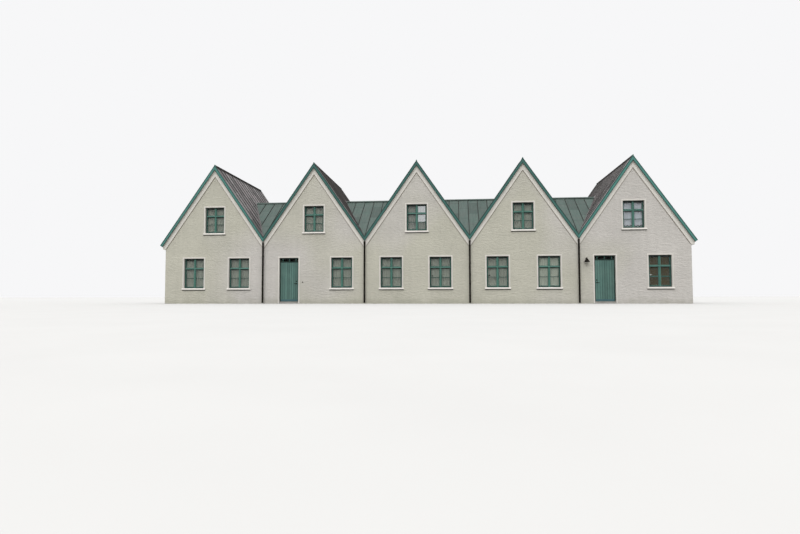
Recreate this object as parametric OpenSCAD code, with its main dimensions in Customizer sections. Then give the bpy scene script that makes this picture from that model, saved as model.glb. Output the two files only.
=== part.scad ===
// Long gabled farmhouse: a row of equal steep gables side by side, with a
// small saddle roof in each valley. Millimetres, ground at z = 0, the front
// faces -Y, and the origin is on the ground in the middle of the house.

/* [Plan] */
// Width of one gable, from valley to valley
gable_w = 5250; // [5100:10:5600]
// Depth of the house between its outer wall faces
house_d = 6800; // [6200:50:7600]
// Thickness of the outer walls
wall_t = 300; // [260:10:340]

/* [Floors] */
// Height of the ground floor above the ground
floor_z = 100; // [60:10:140]
// Height of the loft floor above the ground
loft_z = 2850; // [2800:10:2950]
// Thickness of the loft floor
loft_t = 220; // [160:10:260]

/* [Roof] */
// Pitch of the gable roofs in degrees
roof_pitch = 55.3; // [54:0.1:57]
// Height of the roof's surface in the valleys
valley_z = 3380; // [3340:10:3460]
// Thickness of the timber roof, square to the slope
deck_t = 137; // [120:1:160]
// Thickness of the sheet metal covering
sheet_t = 8; // [5:1:10]
// Distance between two standing seams
seam_step = 515; // [450:5:600]
// Height of a standing seam
seam_h = 35; // [25:1:45]
// Width of a standing seam
seam_w = 24; // [16:1:34]
// Pitch of the saddle roofs in the valleys in degrees
saddle_pitch = 34.5; // [30:0.5:38]
// Thickness of the timber of a saddle roof, square to the slope
saddle_t = 90; // [60:5:110]

/* [Verges and eaves] */
// Reach of the roofs in front of the gable walls
verge_out = 120; // [105:5:160]
// Thickness of a verge board
board_t = 30; // [22:1:40]
// Reach of the verge boards beyond the end walls
board_end = 260; // [240:5:300]
// Reach of the roof timber beyond the end walls, over the cornice
eaves_out = 137; // [110:1:145]
// Depth of the smooth band under a verge board, square to the slope
band_w = 180; // [150:5:220]
// Relief of the smooth band on the wall
band_t = 35; // [20:1:38]

/* [Windows] */
// Height of the heads of the lower windows and the doors
head_z = 2330; // [2280:10:2380]
// Width of a lower window
low_win_w = 1080; // [980:10:1140]
// Height of a lower window
low_win_h = 1540; // [1440:10:1640]
// Width of an upper window
up_win_w = 1020; // [900:10:1100]
// Height of an upper window
up_win_h = 1340; // [1200:10:1400]
// Height of the foot of an upper window
up_win_z = 3640; // [3560:10:3700]
// Distance of a lower window's centre from the middle of its gable
win_off = 1233; // [1180:1:1300]
// Depth of the frames behind the wall face
recess = 100; // [80:5:120]
// Depth of a window frame
frame_d = 70; // [50:5:80]
// Width of the upright outer members of a window frame
frame_w = 80; // [60:1:95]
// Height of the top and bottom members of a window frame
rail_h = 90; // [70:5:110]
// Width of the mullion, with the casement stiles on it
mullion_w = 130; // [100:5:160]
// Height of the transom, with the casement rails on it
transom_h = 120; // [80:5:130]
// Thickness of the glass
glass_t = 10; // [6:1:16]
// Width of the smooth surround of a window or door
surround_w = 65; // [50:5:90]
// Relief of a surround on the wall
surround_t = 15; // [10:1:22]
// Height of a window sill
sill_h = 80; // [60:5:110]
// Reach of a sill in front of the wall
sill_out = 60; // [45:5:90]
// Reach of a sill to each side of its window
sill_side = 90; // [70:5:130]

/* [Doors] */
// Width of a doorway
door_w = 1000; // [940:10:1060]
// Middle of the doorway of gable 2, measured from its left valley
door_2_mid = 1340; // [1280:10:1400]
// Middle of the doorway of gable 5, measured from its left valley
door_5_mid = 1230; // [1200:10:1300]
// Width of the members of a door frame
jamb_w = 45; // [40:1:55]
// Depth of a door frame
jamb_d = 90; // [80:5:110]
// Thickness of a door leaf
leaf_t = 45; // [38:1:50]
// Gap round a door leaf
leaf_gap = 6; // [5:0.5:8]
// Height of the glass above a door
light_h = 140; // [110:5:180]
// Height of a door handle above the ground
handle_z = 1020; // [950:10:1100]

/* [Pipes and lamp] */
// Diameter of a downpipe
pipe_d = 90; // [75:5:90]
// Diameter of an eaves gutter
gutter_d = 104; // [96:2:110]
// Diameter of the lamp's shade
lamp_d = 280; // [220:2:290]
// Height of the lamp's shade
lamp_h = 235; // [180:5:260]
// Height of the shade's rim above the ground
lamp_z = 2000; // [1900:10:2060]
// Middle of the lamp, measured from the left valley of gable 5
lamp_mid = 352; // [320:1:400]

/* [Hidden] */
GABLES = 5;
FIRST = 1;
WALL_NODES = ["front_wall_1", "front_wall_2_left", "front_wall_2_right", "front_wall_2_over",
              "front_wall_3", "front_wall_4",
              "front_wall_5_left", "front_wall_5_right", "front_wall_5_over",
              "back_wall_1", "back_wall_2", "back_wall_3", "back_wall_4", "back_wall_5",
              "side_wall_left", "side_wall_right"];
ROOF_NODES = ["roof_timber_1", "roof_timber_2", "roof_timber_3", "roof_timber_4", "roof_timber_5",
              "roof_metal", "saddle_timber", "saddle_metal", "ridge_caps",
              "verge_boards", "verge_bands", "eaves_cornices"];
OPENING_NODES = ["window_surrounds", "window_sills", "window_frames", "window_glass", "curtains",
                 "door_frames", "thresholds", "door_2", "door_5",
                 "door_2_handle", "door_5_handle"];
OTHER_NODES = ["ground_floor", "loft_floor", "valley_downpipes", "end_gutters", "end_downpipes",
               "wall_lamp"];

plaster = [0.80, 0.79, 0.75];
smooth_white = [0.93, 0.92, 0.89];
patina = [0.49, 0.56, 0.53];
teal = [0.16, 0.45, 0.40];
door_teal = [0.33, 0.50, 0.47];
dark_metal = [0.10, 0.08, 0.08];
timber = [0.55, 0.45, 0.33];
stone_grey = [0.55, 0.54, 0.52];

house_w = GABLES * gable_w;
end_x = house_w / 2;
face_y = house_d / 2;
slope = tan(roof_pitch);
plumb = 1 / cos(roof_pitch);
sheet_v = sheet_t * plumb;
roof_v = (deck_t + sheet_t) * plumb;
seam_v = seam_h * plumb;
band_v = band_w * plumb;
apex_rise = gable_w / 2 * slope;
apex_z = valley_z + apex_rise;
saddle_rise = face_y * tan(saddle_pitch);
saddle_plumb = 1 / cos(saddle_pitch);
saddle_reach = saddle_rise / slope;
roof_y = face_y + verge_out - board_t;
seat_gap = 0.3;
far = 20000;

function valley_x(n) = -end_x + n * gable_w;
function mid_x(n) = valley_x(n) - gable_w / 2;
// Roof surface of gable n at x, lowered by drop
function roof_at(n, x, drop = 0) = apex_z - abs(x - mid_x(n)) * slope - drop;

// A profile in x and z, drawn out along Y from y0 over a length
module along_y(y0, length) {
    translate([0, y0 + length, 0])
        rotate([90, 0, 0])
            linear_extrude(length)
                children();
}

// A profile in y and z, drawn out along X from x0 over a length
module along_x(x0, length) {
    translate([x0, 0, 0])
        rotate([90, 0, 90])
            linear_extrude(length)
                children();
}

// A block given by its lowest corner and its highest corner
module block(low, high) {
    translate(low)
        cube(high - low);
}

// Turns a piece drawn on the front wall, with y = 0 on the wall face, to its side of the house
module on_side(side) {
    turn = side == "front" ? 0 : side == "back" ? 180 : side == "right" ? 90 : -90;
    reach = side == "front" || side == "back" ? face_y : end_x;
    rotate([0, 0, turn])
        translate([0, -reach, 0])
            children();
}

// Windows, each as [middle, foot, width, height] along its wall

function low_window(u) = [u, head_z - low_win_h, low_win_w, low_win_h];
function up_window(u) = [u, up_win_z, up_win_w, up_win_h];
// How far the front's lower windows stand to the right of their regular places, gable by gable
left_shift = [156, 0, -52, -32, 0];
right_shift = [102, 210, -58, -8, -58];
function has_door(n) = n == 2 || n == GABLES;
function front_windows(n) =
    concat(has_door(n) ? [] : [low_window(mid_x(n) - win_off + left_shift[n - 1])],
           [low_window(mid_x(n) + win_off + right_shift[n - 1]), up_window(mid_x(n))]);
function back_windows(n) = [low_window(mid_x(n) - win_off), low_window(mid_x(n) + win_off),
                            up_window(mid_x(n))];
side_windows = [low_window(-win_off), low_window(win_off)];
all_front_windows = [for (n = [FIRST:GABLES]) each front_windows(n)];
all_back_windows = [for (n = [FIRST:GABLES]) each back_windows(n)];

module window_holes(windows) {
    for (w = windows)
        block([w[0] - w[2] / 2, -wall_t, w[1]], [w[0] + w[2] / 2, 2 * wall_t, w[1] + w[3]]);
}

// Draws its child, made for $win, at every window of the house
module at_windows() {
    on_side("front")
        for ($win = all_front_windows)
            children();
    on_side("back")
        for ($win = all_back_windows)
            children();
    on_side("left")
        for ($win = side_windows)
            children();
    on_side("right")
        for ($win = side_windows)
            children();
}

// Walls

function door_mid(n) = valley_x(n - 1) + (n == 2 ? door_2_mid : door_5_mid);

// Outline of a gable wall from height z0 up to the underside of the roof timber
module gable_outline(n, z0) {
    left = valley_x(n - 1);
    right = valley_x(n);
    polygon([[left, z0], [right, z0], [right, valley_z - roof_v],
             [mid_x(n), apex_z - roof_v], [left, valley_z - roof_v]]);
}

module whole_gable_wall(n, side, windows) {
    color(plaster)
        on_side(side)
            difference() {
                along_y(0, wall_t)
                    gable_outline(n, 0);
                window_holes(windows);
            }
}

module front_wall_over(n) {
    color(plaster)
        on_side("front")
            difference() {
                along_y(0, wall_t)
                    gable_outline(n, head_z);
                window_holes([up_window(mid_x(n))]);
            }
}

// Wall beside a doorway: from x0 to x1, up to the door's head
module front_wall_pier(n, x0, x1) {
    color(plaster)
        on_side("front")
            difference() {
                block([x0, 0, 0], [x1, wall_t, head_z]);
                window_holes(front_windows(n));
            }
}

module front_wall_left_of_door(n) {
    front_wall_pier(n, valley_x(n - 1), door_mid(n) - door_w / 2);
}

module front_wall_right_of_door(n) {
    front_wall_pier(n, door_mid(n) + door_w / 2, valley_x(n));
}

module side_wall(side) {
    inner = face_y - wall_t;
    top = valley_z - roof_v - seat_gap;
    color(plaster)
        on_side(side)
            difference() {
                along_x(-inner, 2 * inner)
                    polygon([[0, 0], [wall_t, 0], [wall_t, top + wall_t * slope], [0, top]]);
                window_holes(side_windows);
            }
}

module ground_floor() {
    color(stone_grey)
        block([-end_x + wall_t, -face_y + wall_t, 0], [end_x - wall_t, face_y - wall_t, floor_z]);
}

module loft_floor() {
    color(timber)
        block([-end_x + wall_t, -face_y + wall_t, loft_z - loft_t],
              [end_x - wall_t, face_y - wall_t, loft_z]);
}

// Roof

// Left and right end of gable n's roof: the valleys, or the eaves at the ends of the house
function roof_left(n) = n == FIRST ? -end_x - eaves_out : valley_x(n - 1);
function roof_right(n) = n == GABLES ? end_x + eaves_out : valley_x(n);

// Bent strip over gable n, between two depths below the roof's surface
module roof_strip(n, upper, lower) {
    left = roof_left(n);
    right = roof_right(n);
    polygon([[left, roof_at(n, left, lower)], [mid_x(n), apex_z - lower],
             [right, roof_at(n, right, lower)], [right, roof_at(n, right, upper)],
             [mid_x(n), apex_z - upper], [left, roof_at(n, left, upper)]]);
}

module roof_timber(n) {
    color(timber)
        along_y(-roof_y, 2 * roof_y)
            roof_strip(n, sheet_v, roof_v);
}

seam_count = floor((roof_y - seam_w) / seam_step);
valley_clear = 40;
ridge_clear = 75;
// Height left free between the gable seams and a saddle's seams
seam_clear = 10;

// Seams of one slope of gable n, from the valley or the eaves up to the ridge
module slope_seams(n, foot_x, top_x) {
    for (i = [-seam_count:seam_count])
        along_y(i * seam_step - seam_w / 2, seam_w)
            polygon([[foot_x, roof_at(n, foot_x, sheet_v / 2)], [top_x, roof_at(n, top_x, sheet_v / 2)],
                     [top_x, roof_at(n, top_x, -seam_v)], [foot_x, roof_at(n, foot_x, -seam_v)]]);
}

module roof_metal() {
    color(patina) {
        along_y(-roof_y, 2 * roof_y)
            for (n = [FIRST:GABLES])
                roof_strip(n, 0, sheet_v);
        difference() {
            for (n = [FIRST:GABLES]) {
                slope_seams(n, roof_left(n) + (n == FIRST ? 0 : valley_clear), mid_x(n) - ridge_clear);
                slope_seams(n, roof_right(n) - (n == GABLES ? 0 : valley_clear), mid_x(n) + ridge_clear);
            }
            for (k = [FIRST:GABLES - 1])
                saddle_space(k, seam_v + seam_clear, valley_z - seam_v);
        }
    }
}

// Space between two gable roofs, over valley k
module valley_space(k, foot) {
    x = valley_x(k);
    along_y(-far / 2, far)
        polygon([[x, foot], [x + gable_w / 2, foot + apex_rise], [x - gable_w / 2, foot + apex_rise]]);
}

// Everything in valley k up to the saddle's surface, raised by lift
module saddle_space(k, lift, foot) {
    intersection() {
        valley_space(k, foot);
        along_x(valley_x(k) - gable_w, 2 * gable_w)
            polygon([[-face_y, foot - far], [face_y, foot - far], [face_y, valley_z + lift],
                     [0, valley_z + saddle_rise + lift], [-face_y, valley_z + lift]]);
    }
}

// Layer of the saddle in valley k between two plumb depths below its surface
module saddle_layer(k, upper, lower) {
    intersection() {
        valley_space(k, valley_z);
        along_x(valley_x(k) - gable_w, 2 * gable_w)
            polygon([[-face_y, valley_z - lower], [0, valley_z + saddle_rise - lower],
                     [face_y, valley_z - lower], [face_y, valley_z - upper],
                     [0, valley_z + saddle_rise - upper], [-face_y, valley_z - upper]]);
    }
}

saddle_sheet_v = sheet_t * saddle_plumb;

module saddle_timber() {
    color(timber)
        for (k = [FIRST:GABLES - 1])
            saddle_layer(k, saddle_sheet_v, saddle_sheet_v + saddle_t * saddle_plumb);
}

saddle_seams = floor(saddle_reach / seam_step);

module saddle_metal() {
    rise_v = seam_h * saddle_plumb;
    color(patina)
        for (k = [FIRST:GABLES - 1]) {
            saddle_layer(k, 0, saddle_sheet_v);
            intersection() {
                saddle_layer(k, -rise_v, saddle_sheet_v);
                for (i = [-saddle_seams:saddle_seams])
                    translate([valley_x(k) + i * seam_step - seam_w / 2, -face_y, 0])
                        cube([seam_w, house_d, far]);
            }
        }
}

cap_t = 6;
cap_reach = 66;
cap_roll = 28;
saddle_cap_reach = 90;

// Bent strip over a saddle's ridge, laid on its seams
module saddle_ridge_cap(k) {
    lift = (seam_h + seat_gap) * saddle_plumb;
    drop = saddle_cap_reach * tan(saddle_pitch);
    top = valley_z + saddle_rise + lift;
    cap_v = cap_t * saddle_plumb;
    intersection() {
        valley_space(k, valley_z + seam_v + seam_clear);
        along_x(valley_x(k) - gable_w, 2 * gable_w)
            polygon([[-saddle_cap_reach, top - drop], [0, top], [saddle_cap_reach, top - drop],
                     [saddle_cap_reach, top - drop + cap_v], [0, top + cap_v],
                     [-saddle_cap_reach, top - drop + cap_v]]);
    }
}

// Outline of a ridge cap, with its apex at the origin: two flanges and a round roll
module ridge_outline() {
    foot = -cap_reach * slope;
    cap_v = cap_t * plumb;
    polygon([[-cap_reach, foot], [0, 0], [cap_reach, foot], [cap_reach, foot + cap_v],
             [0, cap_v], [-cap_reach, foot + cap_v]]);
    difference() {
        translate([0, cap_t])
            circle(cap_roll, $fn = 24);
        translate([0, cap_v / 2 - gable_w * slope])
            polygon([[-gable_w, 0], [gable_w, 0], [0, gable_w * slope]]);
    }
}

module ridge_caps() {
    color(dark_metal) {
        for (n = [FIRST:GABLES])
            along_y(-roof_y, 2 * roof_y)
                translate([mid_x(n), apex_z + seat_gap])
                    ridge_outline();
        for (k = [FIRST:GABLES - 1])
            saddle_ridge_cap(k);
    }
}

// Verges and eaves

miter_gap = 1;
board_lip = 14;

// One leg of gable n's verge, from foot_x up to the middle, between two plumb depths.
// Its foot is cut plumb in a valley, and square to the slope at an end of the house.
module verge_leg(n, foot_x, upper, lower) {
    toward = foot_x < mid_x(n) ? 1 : -1;
    top_x = mid_x(n) - toward * miter_gap;
    low_x = foot_x + toward * miter_gap;
    square_cut = (lower - upper) * sin(roof_pitch) * cos(roof_pitch);
    under_x = low_x + (abs(foot_x) > end_x ? toward * square_cut : 0);
    polygon([[under_x, roof_at(n, under_x, lower)], [low_x, roof_at(n, low_x, upper)],
             [top_x, roof_at(n, top_x, upper)], [top_x, roof_at(n, top_x, lower)]]);
}

module verge_boards() {
    color(teal)
        for (side = ["front", "back"])
            on_side(side)
                along_y(-verge_out, board_t)
                    for (n = [FIRST:GABLES]) {
                        verge_leg(n, n == FIRST ? -end_x - board_end : valley_x(n - 1), -board_lip, roof_v);
                        verge_leg(n, n == GABLES ? end_x + board_end : valley_x(n), -board_lip, roof_v);
                    }
}

// Smooth band under the verge, with its squared foot over the corner
module verge_bands() {
    color(smooth_white)
        for (side = ["front", "back"])
            on_side(side)
                along_y(-band_t, band_t)
                    intersection() {
                        for (n = [FIRST:GABLES])
                            roof_strip(n, roof_v, roof_v + band_v);
                        translate([-end_x, valley_z - roof_v - band_v])
                            square([house_w, far]);
                    }
}

module eaves_cornices() {
    top = valley_z - roof_v;
    color(smooth_white)
        for (side = [-1, 1])
            along_y(-face_y - band_t, house_d + 2 * band_t)
                polygon([[side * end_x, top - band_v], [side * end_x, top],
                         [side * (end_x + eaves_out), top - eaves_out * slope],
                         [side * (end_x + eaves_out), top - band_v]]);
}

// Windows

surround_foot = 20;

module window_surrounds() {
    color(smooth_white) {
        at_windows()
            surround($win[0], $win[1], $win[2], $win[3]);
        on_side("front")
            for (n = [2, GABLES])
                surround(door_mid(n), surround_foot, door_w, head_z - surround_foot);
    }
}

// Raised band on both sides and over an opening of the given middle, foot, width and height
module surround(mid, foot, w, h) {
    along_y(-surround_t, surround_t)
        difference() {
            translate([mid - w / 2 - surround_w, foot])
                square([w + 2 * surround_w, h + surround_w]);
            translate([mid - w / 2, foot - 1])
                square([w, h + 1]);
        }
}

module window_sills() {
    color(smooth_white)
        at_windows()
            along_x($win[0] - $win[2] / 2 - sill_side, $win[2] + 2 * sill_side)
                polygon([[0, $win[1] - sill_h], [0, $win[1]], [-sill_out, $win[1] - sill_h / 8],
                         [-sill_out, $win[1] - sill_h]]);
}

transom_at = 0.345;
glass_grip = 20;

module window_frames() {
    color(teal)
        at_windows()
            difference() {
                along_y(recess, frame_d)
                    window_bars($win[0], $win[1], $win[2], $win[3]);
                glass_sheet($win);
            }
}

// Outer frame with its mullion and transom, as an outline
module window_bars(mid, foot, w, h) {
    difference() {
        translate([mid - w / 2, foot])
            square([w, h]);
        for (half = [-1, 1]) {
            light_w = (w - mullion_w) / 2 - frame_w;
            light_x = mid + half * (mullion_w / 2 + light_w / 2) - light_w / 2;
            bar_z = foot + h * (1 - transom_at) - transom_h / 2;
            translate([light_x, foot + rail_h])
                square([light_w, bar_z - foot - rail_h]);
            translate([light_x, bar_z + transom_h])
                square([light_w, foot + h - rail_h - bar_z - transom_h]);
        }
    }
}

module glass_sheet(win) {
    half_w = win[2] / 2 - frame_w + glass_grip;
    edge = rail_h - glass_grip;
    mid_y = recess + frame_d / 2;
    block([win[0] - half_w, mid_y - glass_t / 2, win[1] + edge],
          [win[0] + half_w, mid_y + glass_t / 2, win[1] + win[3] - edge]);
}

// Glass of the windows and of the lights over the doors
module window_glass() {
    color([0.55, 0.62, 0.64]) {
        at_windows()
            glass_sheet($win);
        on_side("front")
            for (n = [2, GABLES])
                door_light(n);
    }
}

curtain_gap = 25;
curtain_t = 12;

// Curtain just inside each window, hung from the top of the opening
module curtains() {
    y0 = recess + frame_d + curtain_gap;
    color([0.85, 0.83, 0.78])
        at_windows()
            block([$win[0] - $win[2] / 2 + curtain_gap, y0, $win[1] + curtain_gap],
                  [$win[0] + $win[2] / 2 - curtain_gap, y0 + curtain_t, $win[1] + $win[3] - seat_gap]);
}

// Doors

stop_w = 12;
light_bar_w = 25;
light_bars = 340;
leaf_half = door_w / 2 - jamb_w - leaf_gap;
pin_off = 10;
pin_r = 4;
pin_play = 0.3;
knuckle_r = 9;
knuckle_h = 32;
knuckle_play = 0.5;
flap_t = 4;
flap_leaf = 70;
flap_jamb = 30;
light_top = head_z - jamb_w;
light_foot = light_top - light_h;
leaf_top = light_foot - jamb_w - leaf_gap;
leaf_foot = floor_z + leaf_gap;

module door_frame(n) {
    left = door_mid(n) - door_w / 2;
    difference() {
        block([left, recess, floor_z], [left + door_w, recess + jamb_d, head_z]);
        block([left + jamb_w, 0, 0], [left + door_w - jamb_w, recess + leaf_t + 5, light_foot - jamb_w]);
        block([left + jamb_w + stop_w, 0, 0],
              [left + door_w - jamb_w - stop_w, wall_t, light_foot - jamb_w - stop_w]);
        for (i = [-1.5:1:1.5])
            light_gap(n, i);
        door_light(n);
    }
}

// Glazed gap i of the four above the door of gable n
module light_gap(n, i) {
    inner = door_w / 2 - jamb_w;
    a = max(-inner, (i - 0.5) * light_bars + light_bar_w / 2);
    b = min(inner, (i + 0.5) * light_bars - light_bar_w / 2);
    block([door_mid(n) + a, 0, light_foot], [door_mid(n) + b, wall_t, light_top]);
}

module door_light(n) {
    inner = door_w / 2 - jamb_w + glass_grip;
    mid_y = recess + jamb_d / 2;
    block([door_mid(n) - inner, mid_y - glass_t / 2, light_foot - glass_grip],
          [door_mid(n) + inner, mid_y + glass_t / 2, light_top + glass_grip]);
}

// Which side of gable n's door its hinges are on: -1 is left, 1 is right
function hinge_side(n) = n == 2 ? -1 : 1;
hinge_end = 220;
hinge_heights = [leaf_foot + hinge_end, (leaf_foot + leaf_top) / 2, leaf_top - hinge_end];

// Part of a hinge from z0 up over a height, with its flap reaching to one side of the pin
module knuckle_part(side, flap, z0, height) {
    translate([0, 0, z0])
        cylinder(r = knuckle_r, h = height, $fn = 48);
    block([min(0, side * flap), pin_off - flap_t, z0], [max(0, side * flap), pin_off, z0 + height]);
}

// Draws its child at each hinge of gable n's door, with the pin's axis on z
module at_hinges(n) {
    for (z = hinge_heights)
        translate([door_mid(n) + hinge_side(n) * (leaf_half + leaf_gap / 2), recess - pin_off, z])
            children();
}

// Upper and lower knuckle on the frame, with the pin through both
module frame_hinge(n) {
    for (up = [0, 1])
        knuckle_part(hinge_side(n), flap_jamb, (2 * up - 1.5) * knuckle_h, knuckle_h);
    translate([0, 0, -1.5 * knuckle_h])
        cylinder(r = pin_r, h = 3 * knuckle_h, $fn = 32);
}

// Middle knuckle on the leaf, bored for the pin
module leaf_hinge(n) {
    difference() {
        knuckle_part(-hinge_side(n), flap_leaf, -knuckle_h / 2 + knuckle_play, knuckle_h - 2 * knuckle_play);
        translate([0, 0, -knuckle_h])
            cylinder(r = pin_r + pin_play, h = 2 * knuckle_h, $fn = 32);
    }
}

module door_frames() {
    color(teal)
        on_side("front")
            for (n = [2, GABLES]) {
                door_frame(n);
                at_hinges(n)
                    frame_hinge(n);
            }
}

module thresholds() {
    color(stone_grey)
        on_side("front")
            for (n = [2, GABLES])
                block([door_mid(n) - door_w / 2, 0, 0], [door_mid(n) + door_w / 2, wall_t, floor_z]);
}

module door_leaf(n) {
    color(door_teal)
        on_side("front") {
            block([door_mid(n) - leaf_half, recess, leaf_foot],
                  [door_mid(n) + leaf_half, recess + leaf_t, leaf_top]);
            at_hinges(n)
                leaf_hinge(n);
        }
}

lever_l = 130;
lever_r = 10;
lever_out = 55;
rose_r = 26;
rose_t = 8;
lever_in = 70;

// Lever handles of gable n's door on both faces, on the side away from its hinges
module door_handle(n) {
    away = -hinge_side(n);
    x = door_mid(n) + away * (leaf_half - lever_in);
    color(dark_metal)
        on_side("front")
            translate([x, recess, handle_z])
                for (flip = [0, 1])
                    translate([0, flip * leaf_t, 0])
                        mirror([0, flip, 0]) {
                            rotate([90, 0, 0])
                                cylinder(r = rose_r, h = rose_t, $fn = 48);
                            rotate([90, 0, 0])
                                cylinder(r = lever_r, h = lever_out, $fn = 32);
                            translate([0, -lever_out + lever_r, 0])
                                rotate([0, -away * 90, 0])
                                    cylinder(r = lever_r, h = lever_l, $fn = 32);
                        }
}

// Pipes, gutters and lamp

pipe_off = 5;
pipe_y = band_t + pipe_off + pipe_d / 2;
clip_t = 6;
clip_h = 40;
clip_w = 50;
clip_heights = [400, 1450, 2400];
pipe_foot = 40;

// Clip that holds a pipe whose middle is reach in front of the wall
module pipe_clip(x, reach, z) {
    translate([x, -reach, z - clip_h / 2])
        cylinder(r = pipe_d / 2 + clip_t, h = clip_h, $fn = 48);
    block([x - clip_w / 2, -reach, z - clip_h / 2], [x + clip_w / 2, 0, z + clip_h / 2]);
}

module valley_downpipes() {
    top = valley_z - roof_v;
    color(dark_metal)
        for (side = ["front", "back"])
            on_side(side)
                for (k = [FIRST:GABLES - 1]) {
                    translate([valley_x(k), -pipe_y, pipe_foot])
                        cylinder(d = pipe_d, h = top - pipe_foot, $fn = 48);
                    for (z = clip_heights)
                        pipe_clip(valley_x(k), pipe_y, z);
                }
}

gutter_t = 4;
gutter_x = eaves_out + seat_gap + gutter_d / 2;
gutter_lift = 20;
gutter_z = valley_z - (eaves_out + gutter_d) * slope + gutter_lift;

// Lower half of a round bar of diameter d along the eaves, from -y to y
module gutter_half(side, d, y) {
    along_y(-y, 2 * y)
        translate([side * (end_x + gutter_x), gutter_z])
            difference() {
                circle(d = d, $fn = 48);
                translate([-gutter_d, 0])
                    square([2 * gutter_d, gutter_d]);
            }
}

// Half-round gutters with closed ends
module end_gutters() {
    color(dark_metal)
        for (side = [-1, 1])
            difference() {
                gutter_half(side, gutter_d, roof_y);
                gutter_half(side, gutter_d - 2 * gutter_t, roof_y - gutter_t);
            }
}

collar_t = 3;
knee_clear = 12;
end_pipe_off = 700;

module end_downpipes() {
    knee_z = valley_z - roof_v - band_v - pipe_d / 2 - collar_t - knee_clear;
    drop = gutter_x - pipe_y;
    v = face_y - end_pipe_off;
    top = gutter_z - gutter_d / 2 + gutter_t;
    color(dark_metal)
        for (side = ["left", "right"])
            on_side(side) {
                u = side == "left" ? -v : v;
                translate([u, -gutter_x, knee_z])
                    cylinder(d = pipe_d, h = top - gutter_t - knee_z, $fn = 48);
                translate([u, -gutter_x, knee_z])
                    sphere(d = pipe_d + 2 * collar_t, $fn = 48);
                translate([u, -gutter_x, knee_z])
                    rotate([225, 0, 0])
                        cylinder(d = pipe_d, h = drop * sqrt(2), $fn = 48);
                translate([u, -pipe_y, knee_z - drop])
                    sphere(d = pipe_d + 2 * collar_t, $fn = 48);
                translate([u, -pipe_y, pipe_foot])
                    cylinder(d = pipe_d, h = knee_z - drop - pipe_foot, $fn = 48);
                for (z = [clip_heights[0], clip_heights[1]])
                    pipe_clip(u, pipe_y, z);
            }
}

shade_t = 6;
shade_top_r = 18;
shade_hollow = 0.7;
lamp_reach = 150;
arm_r = 12;
arm_at = 0.75;
lamp_rose_r = 40;
lamp_rose_t = 12;
bulb_r = 26;
bulb_z = 100;
holder_r = 15;

// Bar along Y from the wall face outwards, at the height of the lamp's arm
module lamp_bar(r, length) {
    translate([0, 0, lamp_h * arm_at])
        rotate([90, 0, 0])
            cylinder(r = r, h = length, $fn = 48);
}

// Conical shade on a short arm, open below, with its bulb
module wall_lamp() {
    hollow_h = lamp_h * shade_hollow;
    color(dark_metal)
        on_side("front")
            translate([valley_x(GABLES - 1) + lamp_mid, 0, lamp_z]) {
                difference() {
                    union() {
                        translate([0, -lamp_reach, 0])
                            cylinder(r1 = lamp_d / 2, r2 = shade_top_r, h = lamp_h, $fn = 64);
                        lamp_bar(arm_r, lamp_reach);
                        lamp_bar(lamp_rose_r, lamp_rose_t);
                    }
                    translate([0, -lamp_reach, 0])
                        cylinder(r1 = lamp_d / 2 - shade_t, r2 = holder_r, h = hollow_h, $fn = 64);
                }
                translate([0, -lamp_reach, bulb_z])
                    sphere(r = bulb_r, $fn = 32);
                translate([0, -lamp_reach, bulb_z])
                    cylinder(r = holder_r, h = hollow_h - bulb_z + holder_r, $fn = 32);
            }
}

whole_gable_wall(1, "front", front_windows(1));  // front_wall_1
front_wall_left_of_door(2);  // front_wall_2_left
front_wall_right_of_door(2);  // front_wall_2_right
front_wall_over(2);  // front_wall_2_over
whole_gable_wall(3, "front", front_windows(3));  // front_wall_3
whole_gable_wall(4, "front", front_windows(4));  // front_wall_4
front_wall_left_of_door(5);  // front_wall_5_left
front_wall_right_of_door(5);  // front_wall_5_right
front_wall_over(5);  // front_wall_5_over
whole_gable_wall(1, "back", back_windows(1));  // back_wall_1
whole_gable_wall(2, "back", back_windows(2));  // back_wall_2
whole_gable_wall(3, "back", back_windows(3));  // back_wall_3
whole_gable_wall(4, "back", back_windows(4));  // back_wall_4
whole_gable_wall(5, "back", back_windows(5));  // back_wall_5
side_wall("left");  // side_wall_left
side_wall("right");  // side_wall_right
roof_timber(1);  // roof_timber_1
roof_timber(2);  // roof_timber_2
roof_timber(3);  // roof_timber_3
roof_timber(4);  // roof_timber_4
roof_timber(5);  // roof_timber_5
roof_metal();
saddle_timber();
saddle_metal();
ridge_caps();
verge_boards();
verge_bands();
eaves_cornices();
window_surrounds();
window_sills();
window_frames();
window_glass();
curtains();
door_frames();
thresholds();
door_leaf(2);  // door_2
door_leaf(5);  // door_5
door_handle(2);  // door_2_handle
door_handle(5);  // door_5_handle
ground_floor();
loft_floor();
valley_downpipes();
end_gutters();
end_downpipes();
wall_lamp();
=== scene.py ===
"""Five-gabled farmhouse: finishes, roofing, joinery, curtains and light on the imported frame.

Lengths are in metres, the ground is z = 0, the front faces -Y and the origin lies on the
ground in the middle of the house.
"""

import logging
import math
from dataclasses import dataclass, field
from enum import Enum

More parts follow.
